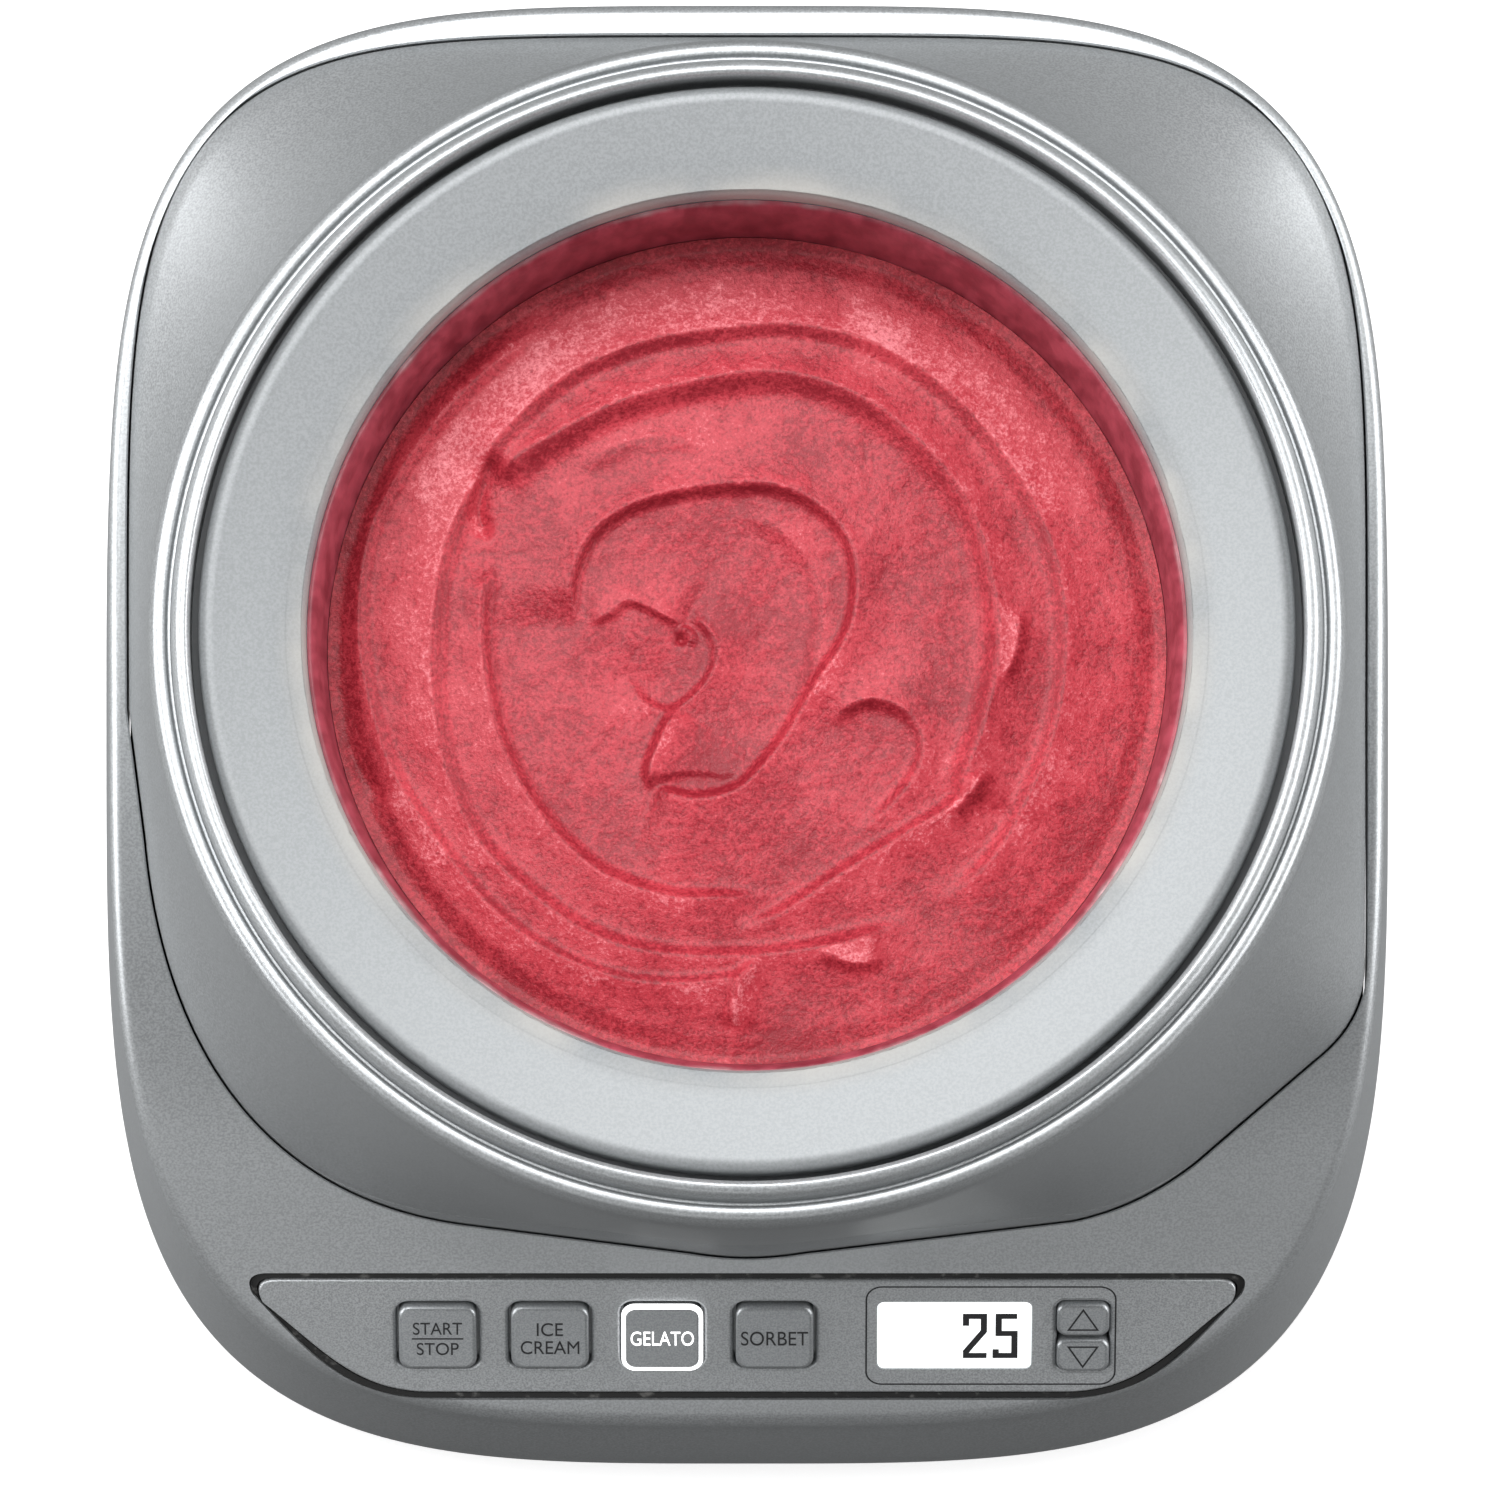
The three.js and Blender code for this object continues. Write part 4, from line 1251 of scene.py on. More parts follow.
    def loop(self, radius: Callable[[np.ndarray], np.ndarray],
             height: Callable[[np.ndarray, np.ndarray], Any]) -> np.ndarray:
        """One loop round the axis.

        Args:
            radius: Distance from the axis at an angle.
            height: Height at x and y.

        Returns:
            The loop's points in metres.
        """
        angle = np.arange(self.steps) / self.steps * TURN
        r = radius(angle)
        x, y = r * np.cos(angle), r * np.sin(angle)
        return np.column_stack([x, y, np.broadcast_to(height(x, y), x.shape)]) * MM


@dataclass
class Housing:
    """The painted shells, the pan, the feet, the ring and the well.

    Attributes:
        shop: Shared tools.
        form: The shared outlines.
        wall: Wall thickness in millimetres.
        joint: Gap between the two shells.
        edge: How far the band's rounded edge reaches in and down.
        post: How far the long posts stand to the side, and to the front or back, of the axis.
        foot: The same for the feet.
        cord: X, Y, Z of the cord's outlet.
        cord_turn: How far its wall is turned from square.
        cord_hole: Radius of the cord's hole.
    """

    shop: Workshop
    form: HousingForm = HousingForm()
    wall: float = 2.2
    joint: float = 0.4
    edge: Point2 = (2.3, 3.2)
    post: Point2 = (74 * math.cos(math.radians(35)), 74 * math.sin(math.radians(35)))
    foot: Point2 = (82.0, 86.0)
    cord: Point3 = (66.0, 119.6, 22.0)
    cord_turn: float = math.radians(-13.6)
    cord_hole: float = 5.9

    def build(self, opening: bpy.types.Object) -> None:
        """Builds and seats every piece.

        Args:
            opening: The block that cuts the panel's opening.
        """
        silver = self.shop.finish(SILVER)
        deck = to_mesh("deck_skin", *loft(self._deck_loops(), True))
        carve(deck, opening, self._cord_drill())
        seat(deck, silver, "base", "deck_shell")
        seat(to_mesh("tower_skin", *loft(self._tower_loops(), True)), silver, "base", "tower_shell")
        self._ring()
        self._well()
        self.shop.paint({"base_pan": BLACK_MOULDING})
        self._underside()
        self._bush()

    def _deck_loops(self) -> list[np.ndarray]:
        """The lower shell, from the joint with the shoulder over the edge, down the wall and back inside.

        Returns:
            Its loops.
        """
        f, (inset, drop) = self.form, self.edge
        loops = [f.loop(lambda a: f.crease(a) + self.joint, lambda x, y: f.band(y) - 0.35)]
        for t in np.linspace(0, 1, 7):
            loops.append(f.loop(lambda a: mix(f.crease(a) + self.joint + 0.3, f.top(a) - inset, t),
                                lambda x, y: f.band(y)))
        for turn in np.linspace(0, math.pi / 2, 9)[1:]:
            loops.append(f.loop(lambda a: f.top(a) - inset * (1 - math.sin(turn)),
                                lambda x, y: f.band(y) - drop * (1 - math.cos(turn))))
        for t in np.linspace(0, 1, 12)[1:]:
            loops.append(f.loop(lambda a: mix(f.top(a), f.bottom(a), 1 - (1 - t) ** 1.56),
                                lambda x, y: mix(f.band(y) - drop, 14, t)))
        for t in (0.35, 0.7, 0.9, 1.0):
            loops.append(f.loop(lambda a: f.bottom(a) - 0.9 * t**3, lambda x, y: 14 - 10.6 * t))
        loops.append(f.loop(lambda a: f.bottom(a) - 0.9 - self.wall, lambda x, y: 3.4))
        loops.append(f.loop(lambda a: f.bottom(a) - self.wall, lambda x, y: 14))
        loops.append(f.loop(lambda a: mix(f.top(a), f.bottom(a), 0.66) - self.wall,
                            lambda x, y: mix(14, f.band(y) - 4, 0.5)))
        loops.append(f.loop(lambda a: f.top(a) - self.wall, lambda x, y: f.band(y) - 5))
        under = self.wall + 0.9
        loops.append(f.loop(lambda a: np.maximum(f.top(a) - 4.4, f.crease(a) + 0.9),
                            lambda x, y: f.band(y) - under))
        loops.append(f.loop(lambda a: f.crease(a) + self.joint, lambda x, y: f.band(y) - under))
        return loops

    def _tower_loops(self) -> list[np.ndarray]:
        """The upper shell, from the neck down to the shoulder's edge, its skirt and back up inside.

        Returns:
            Its loops.
        """
        f = self.form

        def edge_height(x: np.ndarray, y: np.ndarray) -> np.ndarray:
            """Height of the shoulder's edge at the same angle as x and y."""
            angle = np.arctan2(y, x)
            reach = f.crease(np.mod(angle, TURN))
            return f.crease_height(reach * np.cos(angle), reach * np.sin(angle))

        def flared(u: float, inset: float) -> np.ndarray:
            """One loop of the flare at u, from the neck at 0 to the edge at 1."""
            return f.loop(lambda a: mix(f.neck_radius, f.crease(a), u**f.flare) - inset,
                          lambda x, y: mix(f.neck_top, edge_height(x, y), u))

        loops = [flared(u, 0) for u in np.linspace(0, 0.995, 32)]
        for turn in np.linspace(0, math.pi / 2, 4)[1:]:
            loops.append(f.loop(lambda a: f.crease(a) - 0.5 * (1 - math.sin(turn)),
                                lambda x, y: edge_height(x, y) - 0.1 - 0.5 * (1 - math.cos(turn))))
        for inset in (0.0, self.wall):
            loops.append(f.loop(lambda a: f.crease(a) - inset, lambda x, y: f.band(y) - 6))
        loops.append(f.loop(lambda a: f.crease(a) - self.wall, lambda x, y: edge_height(x, y) - 3))
        loops += [flared(u, self.wall) for u in (0.85, 0.7, 0.55, 0.4, 0.2, 0.0)]
        return loops

    def _ring(self) -> None:
        """The ring round the bowl: a rounded outer band, a groove and a raised ridge with a flat top."""
        profile = soften([
            (99.2, 209.5, 0), (101.7, 209.5, 0.6), (102.5, 211.2, 0.8), (102.5, 218.3, 2.4),
            (100.9, 221.4, 1.2), (99.3, 221.1, 0.35), (98.95, 219.9, 0.2), (98.35, 219.9, 0.2),
            (98.0, 223.2, 1.0), (96.9, 225, 0.9), (95.6, 225, 0.5), (95.0, 223.9, 0.6), (94.9, 214.3, 0),
            (99.2, 214.3, 0),
        ])
        self.shop.turn("rim_ring_skin", SILVER, profile, "base", "rim_ring", 256, 50)

    def _well(self) -> None:
        """The dry well that the bowl turns in, with the posts below it."""
        profile = soften([
            (9.3, 54, 0), (86.4, 54, 1.5), (94.3, 212.3, 0), (98, 212.3, 0), (98, 214.1, 0.3),
            (92.3, 214.1, 0.5), (84.5, 59.4, 1.2), (81.5, 56.4, 1.2), (60, 56.4, 0.6), (59, 57.2, 0.6),
            (57, 57.2, 0.6), (56, 56.4, 0.6), (13, 56.4, 0.5), (13, 58, 0.4), (9.3, 58, 0.3),
        ], 5)
        self.shop.turn("well_skin", WELL_MOULDING, profile, "base", "bowl_well", 192, 40)
        outside = soften([(2.3, 6.1, 0.2), (5, 6.1, 0.6), (5.6, 53.9, 0), (0, 53.9, 0)])
        long = [(0, 22), (2.3, 22), *outside[:-1], (0, 53.9)]
        short = [(0, 50), (1.9, 50), (1.9, 40.3), (4.2, 40.3), (4.6, 41), (4.9, 53.9), (0, 53.9)]
        grey = self.shop.finish(WELL_MOULDING)
        corners = [(sx * self.post[0], sy * self.post[1], 0.0) for sx in (-1, 1) for sy in (-1, 1)]
        hangers = [(x, y, 0.0) for x, y in HANGERS]
        for name, outline, places in (("well_posts", long, corners), ("plate_posts", short, hangers)):
            pattern = self.shop.lathe.turn(f"{name}_pattern", outline, grey, 24)
            self.shop.set_out(name, WELL_MOULDING, pattern, places, "bowl_well")

    def _underside(self) -> None:
        """The four rubber feet, with tread rings, and the screws that close the housing."""
        tread = [(0.0, 0.5), (1.2, 0.5), (1.5, 0.0)]
        for ring in range(3):
            r = 3.0 + ring * 1.9
            tread += [(r, 0.0), (r + 0.25, 0.45), (r + 0.65, 0.45), (r + 0.9, 0.0)]
        rest = soften([(8.7, 0.0, 0.3), (9.0, 1.2, 0.4), (8.9, 2.7, 0.2)])
        stem = [(3, 2.7), (3, 5.9), (4.3, 6.0), (3, 8.6), (0, 8.6)]
        rubber = self.shop.finish(RUBBER)
        for end, y in (("front", -self.foot[1]), ("back", self.foot[1])):
            for side, x in (("left", -self.foot[0]), ("right", self.foot[0])):
                name = f"{end}_{side}"
                foot = self.shop.lathe.turn(f"foot_pattern_{name}", [*tread, *rest, *stem], rubber, 64, 30)
                self.shop.set_out(f"rubber_foot_{name}", RUBBER, foot, [(x, y, 0.0)], f"foot_{name}")
        for number, (sx, sy) in enumerate([(1, 1), (-1, 1), (-1, -1), (1, -1)], 1):
            place = (sx * self.post[0], sy * self.post[1], 0.8)
            self.shop.screw(f"pan_screw_{number}", 4.0, 1.9, 2.0, 15.0, place, f"base_screw_{number}")

    def _bush(self) -> None:
        """The rubber bush where the cord leaves the back wall."""
        rubber = self.shop.finish(RUBBER)
        profile = soften([
            (4.1, -5.6, 0.3), (7, -5.6, 0.3), (7, -4.3, 0.2), (5.6, -4, 0.1), (5.6, 0.5, 0),
            (7.4, 0.5, 0.3), (6.7, 2.3, 0.7), (4.1, 2.3, 0.6),
        ])
        bush = self.shop.lathe.turn("cord_grommet", profile, rubber, 64, 45)
        bush.data.transform(self._in_back_wall())
        seat(bush, rubber, "base", "cord_bush")

    def _in_back_wall(self) -> Matrix:
        """Returns the place of a piece turned about Z that stands in the back wall."""
        turned = Matrix.Rotation(self.cord_turn, 4, "Z") @ Matrix.Rotation(-math.pi / 2, 4, "X")
        return Matrix.Translation([c * MM for c in self.cord]) @ turned

    def _cord_drill(self) -> bpy.types.Object:
        """The tool that drills the cord's hole.

        Returns:
            The tool.
        """
        rod = [(0, -12), (self.cord_hole, -12), (self.cord_hole, 12), (0, 12)]
        drill = self.shop.lathe.turn("cord_drill", rod, self.shop.finish(RUBBER))
        drill.data.transform(self._in_back_wall())
        return drill


def carve(piece: bpy.types.Object, *tools: bpy.types.Object) -> None:
    """Cuts tools out of a piece and takes them away.

    Args:
        piece: The piece to cut.
        *tools: The closed bodies to cut out of it.
    """
    for tool in tools:
        cut = piece.modifiers.new(tool.name, "BOOLEAN")
        cut.operation = "DIFFERENCE"
        cut.solver = "EXACT"
        cut.object = tool
    graph = bpy.context.evaluated_depsgraph_get()
    made = bpy.data.meshes.new_from_object(piece.evaluated_get(graph))
    piece.modifiers.clear()
    piece.data = made
    for tool in tools:
        bpy.data.objects.remove(tool)
    made.shade_smooth()
    made.set_sharp_from_angle(angle=math.radians(SHARP))


# ---------------------------------------------------------------- bowl


@dataclass
class Bowl:
    """The freezer bowl: rim, liner, outer wall, coolant, seal and driven foot.

    Attributes:
        shop: Shared tools.
        rim_radius: Radius over the rim.
        mouth: Radius of the mouth.
    """

    shop: Workshop
    rim_radius: float = 93.6
    mouth: float = 75.4

    def build(self) -> None:
        """Builds and seats the bowl's pieces."""
        self._turn("bowl_rim_skin", RIM_SILVER, "bowl_rim", soften([
            (self.rim_radius, 217, 0.2), (self.rim_radius, 221.8, 1.3), (91.6, 222.35, 0.8),
            (79, 220.1, 3.0), (self.mouth, 219.2, 3.4), (self.mouth - 0.1, 213.2, 0.1), (77.1, 213.2, 0),
            (77.6, 216.6, 0), (91.2, 219, 0), (91.8, 217, 0),
        ], 10), 60)
        self._turn("liner_skin", SMEARED_LINER, "bowl_liner", [
            (0, 76.5), (62, 76.5), *bezier([(62, 76.5), (66, 76.5), (66.8, 80.5)], 6)[1:],
            (75, 212.0), (75.25, 213.1), *bezier([(75.0, 213.1), (74.3, 213.0), (73.5, 209.6)], 6),
            (65.4, 82.4), *bezier([(65.4, 82.4), (65, 78), (60, 78)], 8)[1:], (0, 78),
        ], 40)
        self._turn("bowl_wall_skin", BOWL_MOULDING, "bowl_outer", [
            (0, 64.6), (70, 64.6), *bezier([(70, 64.6), (82, 64.6), (82.6, 74)], 10)[1:],
            (86.3, 140), (86.8, 140.4), (87.1, 146), (86.7, 146.4), (90.6, 216), (88.6, 216),
            (80.6, 75), (75.2, 66.8), (0, 66.8),
        ], 28)
        self._turn("coolant_skin", GEL, "coolant_fill", [
            (0, 67.1), (75, 67.1), (80.1, 75), (87.8, 209.5), (75.3, 209.5), (67.2, 80.3), (62.3, 76.1),
            (0, 76.1),
        ], 40)
        self._turn("seal_skin", RUBBER, "bowl_seal", soften([
            (78.2, 212.6, 0.2), (87.6, 212.6, 0.2), (87.6, 215.8, 0.3), (84, 216.4, 0.5),
            (78.2, 215.6, 0.3),
        ]), 45)
        self.shop.paint({"bowl_base_cap": BOWL_MOULDING})

    def _turn(self, name: str, finish: Finish, node: str, profile: Outline, sharp: float) -> None:
        """Turns one piece and seats it on the bowl.

        Args:
            name: The piece's name.
            finish: Its finish.
            node: The solid that it replaces.
            profile: Radius and height in millimetres.
            sharp: Edges that turn by more than this stay sharp.
        """
        self.shop.turn(name, finish, profile, "bowl", node, 240, sharp)


@dataclass(frozen=True)
class Fold:
    """A lip in the churned surface, steep on its right-hand side and running out gently on its left.

    Attributes:
        points: Its course in millimetres from the bowl's axis.
        height: How high it stands, negative for a groove.
        gentle: How far it runs out on the left.
        steep: How far it runs out on the right.
        fade: Length over which it rises at its start and sinks at its end.
    """

    points: tuple[Point2, ...]
    height: float
    gentle: float = 8.0
    steep: float = 0.8
    fade: Point2 = (6.0, 6.0)

    def course(self) -> np.ndarray:
        """Samples a smooth curve through the points.

        Returns:
            Points about half a millimetre apart.
        """
        p = np.array([self.points[0], *self.points, self.points[-1]], dtype=float)
        found = []
        for i in range(1, len(p) - 2):
            count = max(2, int(np.hypot(*(p[i + 1] - p[i])) / 0.5))
            t = np.linspace(0, 1, count, endpoint=False)[:, None]
            found.append(0.5 * (2 * p[i] + (p[i + 1] - p[i - 1]) * t
                                + (2 * p[i - 1] - 5 * p[i] + 4 * p[i + 1] - p[i + 2]) * t**2
                                + (3 * p[i] - p[i - 1] - 3 * p[i + 1] + p[i + 2]) * t**3))
        return np.vstack([*found, p[-1:]])

    def raise_at(self, where: np.ndarray) -> tuple[np.ndarray, np.ndarray]:
        """How much the fold raises the surface.

        Args:
            where: Points, one a row.

        Returns:
            The height there, and the painted light at each point, at most 1: highlight on the gentle side
            near the lip, shade by the steep face.
        """
        course = self.course()
        along = np.concatenate([[0], np.cumsum(np.hypot(*np.diff(course, axis=0).T))])
        tangent = np.gradient(course, axis=0)
        near = np.full(len(where), np.inf)
        index = np.zeros(len(where), dtype=int)
        for i, point in enumerate(course):
            distance = np.hypot(where[:, 0] - point[0], where[:, 1] - point[1])
            closer = distance < near
            near[closer] = distance[closer]
            index[closer] = i
        offset = where - course[index]
        left = tangent[index, 0] * offset[:, 1] - tangent[index, 1] * offset[:, 0] > 0
        begun = np.clip(along[index] / self.fade[0], 0, 1)
        ended = np.clip((along[-1] - along[index]) / self.fade[1], 0, 1)
        strength = (begun * begun * (3 - 2 * begun)) * (ended * ended * (3 - 2 * ended))
        steep_side = np.exp(-((near / (1.5 * self.steep)) ** 2))
        slope = np.where(left, np.exp(-near / (1.25 * self.gentle)), steep_side)
        # Painted highlight on the gentle side near the lip, painted shade by the steep face.
        painted_light = np.where(left, np.exp(-near / 4), -np.exp(-(((near - 1.2) / 1.2) ** 2)))
        return 1.45 * self.height * slope * strength, np.sign(self.height) * painted_light * strength


FOLDS = (
    Fold(((-30.5, 4), (-30.3, 13), (-27, 20.4), (-21, 25), (-13, 27.7), (-3.8, 29), (4.8, 28.8),
          (12, 25.7), (17.4, 19.7), (19, 11.7), (17.4, 3), (12, -5.7), (5.5, -16.4), (-1.2, -23.7),
          (-9.1, -25.7), (-16.4, -23.7)), 1.9, 6.5, 0.7, (8, 4)),
    Fold(((-11.5, -9), (-14.2, -14), (-16.6, -20), (-16.2, -23.9)), 1.6, 5, 0.7, (4, 3)),
    Fold(((-10.2, 7), (-6.4, 3.9), (-5.1, -1), (-7.8, -6.2), (-13.1, -10.2), (-18, -8.4),
          (-20.8, -3.5)), 0.9, 3.2, 0.6, (3, 6)),
    Fold(((-28, 5.2), (-24, 6.6), (-20.4, 9), (-15.5, 7.2), (-11, 4.6)), 0.9, 3.5, 0.5, (4, 3)),
    Fold(((-10.2, 1.2), (-9.4, 2.6), (-10.4, 4.1), (-12.3, 3.9)), 0.7, 1.4, 0.35, (1, 1.5)),
    Fold(((-3.8, 24.4), (4.1, 22.4), (10.8, 15.7), (13.1, 7.7), (11.4, -3), (6.8, -11)), 0.55, 5, 1.2,
          (10, 10)),
    Fold(((14, -12.5), (18.4, -9), (23, -8.4), (28, -11), (30.4, -15.8), (29.3, -21), (24.7, -27),
          (17.4, -33)), 1.3, 5, 0.8, (5, 14)),
    Fold(((6, -42.5), (-8, -43), (-15.7, -42.2), (-26.3, -37.7), (-35.6, -28.4), (-42.2, -16.4),
          (-45.1, -4.3), (-45.9, 6.3), (-44.4, 17)), 1.7, 7, 0.9, (14, 8)),
    Fold(((-44, 29), (-40, 33.4), (-34.3, 37), (-22.3, 43.2), (-9.1, 47), (4.1, 48.6), (17.4, 45.4),
          (29.3, 37), (38.6, 25), (42.5, 12), (43.5, 0), (41, -13), (35.9, -25.7)), 2.3, 6, 1.6,
          (6, 4)),
    Fold(((42, -19), (35.9, -26.4), (28, -31.6), (17.4, -38), (6, -45.5), (-3, -49)), 1.3, 5, 0.9,
          (8, 10)),
    Fold(((-43, 34.4), (-45.2, 30), (-46.2, 24), (-43.8, 19.4)), -1.5, 1.1, 0.9, (3, 3)),
    Fold(((-30, 31), (-22, 36), (-12, 37.4), (-7, 33.5)), 0.5, 4, 1.6, (6, 6)),
    Fold(((29.3, -46.4), (17.4, -50.6), (1.5, -53), (-14.4, -52.8), (-26.3, -49.6), (-36.9, -42.6),
          (-46.2, -33.2), (-51.5, -21.7), (-54.1, -8.3), (-54.1, 6.3), (-52.1, 18.4), (-47.4, 29),
          (-42.5, 37.6), (-31.6, 47.7), (-18.4, 53.7), (-6.5, 55.9), (6.8, 57), (20, 54.4), (32, 47.7),
          (41.2, 38.4), (49.2, 26.4), (53.8, 14.3), (55.1, 1), (53.1, -13.7), (47.2, -28.4),
          (41.2, -37.5), (33, -44.5)), 1.5, 7, 1.1, (12, 12)),
    Fold(((2, -56), (-9.1, -57.9), (-22.3, -57), (-35.6, -51.4), (-44.8, -44), (-52.8, -33.9),
          (-60.7, -21.7), (-65.4, -7), (-67.1, 6.3), (-65.6, 19.7), (-60.7, 30.2), (-53.4, 40.2),
          (-43.5, 50.2), (-33, 57)), 1.2, 4.5, 0.9, (6, 16)),
    Fold(((3, -53.5), (-0.8, -56.6), (-2.4, -61), (-3.2, -65.5)), 1.3, 2.2, 0.8, (3, 3)),
    Fold(((12, -51.5), (18, -54), (24, -53)), 0.7, 2.2, 0.8, (3, 3)),
    Fold(((-69.5, -15), (-66, -21), (-62.4, -26.5)), -0.9, 1.2, 1.0, (3, 3)),
    Fold(((43.5, -6), (46.5, 1), (46.8, 8)), 0.6, 2.0, 0.8, (4, 4)),
    Fold(((34, -28.6), (38, -25.2), (41.5, -20.4)), 0.9, 1.4, 1.2, (3, 3)),
)


@dataclass
class Sorbet:
    """The churned sorbet in the bowl.

    Attributes:
        shop: Shared tools.
        reach: Radius of its surface.
        level: Heights of its surface at radii, before the folds.
        wall: Radius and height of its outer side and its underside, from the surface down to the axis.
        rolls: Size and depth of the slow and the fine unevenness.
        pit: Place of a small round hole.
        rings: How many rings the surface has.
        spokes: How many points a ring has.
    """

    shop: Workshop
    reach: float = 72.2
    level: tuple[Point2, ...] = (
        (0, 189.4), (14, 189.8), (30, 190.9), (48, 190.9), (62, 190.6), (70.2, 190.2), (72.2, 191.0)
    )
    wall: tuple[Point2, ...] = ((71.2, 180), (68.5, 140), (65, 81.8), (61, 78.4), (0, 78.4))
    rolls: tuple[Point2, ...] = ((34.0, 0.9), (9.0, 0.28), (2.4, 0.12))
    pit: Point2 = (-11.4, 2.4)
    rings: int = 150
    spokes: int = 520

    def build(self) -> None:
        """Builds and seats the sorbet."""
        angle = np.arange(self.spokes) / self.spokes * TURN
        radii = self.reach * (np.arange(self.rings + 1) / self.rings) ** 0.92
        ring, turn = np.meshgrid(radii, angle, indexing="ij")
        flat = np.column_stack([(ring * np.cos(turn)).ravel(), (ring * np.sin(turn)).ravel()])
        height, painted_light = self._surface(flat, ring.ravel())
        top = np.column_stack([flat, height]) * MM
        walls = [np.column_stack([r * np.cos(angle), r * np.sin(angle), np.full_like(angle, z)]) * MM
                 for r, z in self.wall]
        points, faces = loft([*np.split(top, self.rings + 1), *walls], False)
        mesh = bpy.data.meshes.new("sorbet_skin")
        mesh.from_pydata([tuple(p) for p in points], [], faces)
        # The attribute holds the painted highlight and shade; the sides get an even value.
        level = mesh.attributes.new(SORBET.painted_light, "FLOAT", "POINT")
        level.data.foreach_set("value", np.concatenate([painted_light, np.full(len(self.wall) * self.spokes, 0.4)]))
        seat(dress_mesh("sorbet_skin", mesh, 80), self.shop.finish(SORBET), "bowl", "sorbet")

    def _surface(self, flat: np.ndarray, ring: np.ndarray) -> tuple[np.ndarray, np.ndarray]:
        """Heights of the churned surface, with its painted highlight and shade.

        Args:
            flat: X and Y of its points.
            ring: Their distances from the axis.

        Returns:
            Heights in millimetres, and the painted highlight and shade at each point, from 0 for shade to 1
            for highlight.
        """
        height = np.interp(ring, [p[0] for p in self.level], [p[1] for p in self.level])
        painted_light = np.full(len(flat), 0.35)
        calm = np.clip((self.reach - ring) / 5, 0, 1)
        # Painted highlight: a pale band round the back half of the surface, where the light falls.
        painted_light += 0.3 * np.exp(-(((ring - 61) / 5) ** 2)) * np.clip(flat[:, 1] / 40, 0, 1)
        # Darker towards the middle, and painted shade by the bowl's wall.
        painted_light -= 0.22 * np.exp(-((ring / 34) ** 2)) + 0.45 * np.clip((ring - 66) / 4, 0, 1)
        for fold in FOLDS:
            raised, near = fold.raise_at(flat)
            height += raised * calm
            # Painted highlight by each fold's lip and painted shade by its steep face.
            painted_light += near * 0.3 * calm
        for size, depth in self.rolls:
            rolling = np.array([noise.noise((x / size, y / size, size)) for x, y in flat])
            height += rolling * depth * np.clip(ring / 3, 0, 1)
            # Painted highlight where the rolls rise and painted shade where they sink.
            painted_light += rolling * 0.12
        pit = np.hypot(flat[:, 0] - self.pit[0], flat[:, 1] - self.pit[1])
        height -= 1.6 * np.exp(-((pit / 0.8) ** 2))
        shallow = np.hypot((flat[:, 0] + 16) / 8, (flat[:, 1] + 8) / 10)
        height -= 1.1 * np.exp(-(shallow**2))
        return height, np.clip(painted_light, 0, 1)


# ---------------------------------------------------------------- panel


class Slab:
    """Gathers flat faces and walls in panel millimetres and welds them into one closed body."""

    def __init__(self) -> None:
        """Starts an empty body."""
        self.points: list[Point3] = []
        self.faces: list[Face] = []

    def flat(self, outlines: Sequence[Outline], z: float) -> None:
        """Adds a flat face with holes.

        Args:
            outlines: The outer outline, then the holes.
            z: Its height.
        """
        start = len(self.points)
        loops = [[Vector((x, y, 0.0)) for x, y in outline] for outline in outlines]
        self.points += [(p.x, p.y, z) for loop in loops for p in loop]
        self.faces += [tuple(start + i for i in face) for face in tessellate_polygon(loops)]

    def wall(self, stations: Sequence[tuple[Outline, float]]) -> None:
        """Adds a closed wall through outlines with the same number of points.

        Args:
            stations: Each outline with its height.
        """
        start, count = len(self.points), len(stations[0][0])
        self.points += [(x, y, z) for outline, z in stations for x, y in outline]
        for j in range(len(stations) - 1):
            self.faces += strip(start + j * count, start + (j + 1) * count, count)

    def close(self, name: str, place: Matrix, sharp: float = 40.0) -> bpy.types.Object:
        """Welds the body and sets it in its place.

        Args:
            name: The piece's name.
            place: From panel millimetres to metres.
            sharp: Edges that turn by more than this stay sharp.

        Returns:
            The piece.
        """
        piece = to_mesh(name, np.array(self.points) * MM, self.faces, sharp)
        for face in piece.data.polygons:
            if abs(face.normal.z) > 0.9999:
                face.use_smooth = False
        piece.data.transform(place)
        return piece


class Arrow(Enum):
    """Which way a time key points."""

    UP = 1
    DOWN = -1


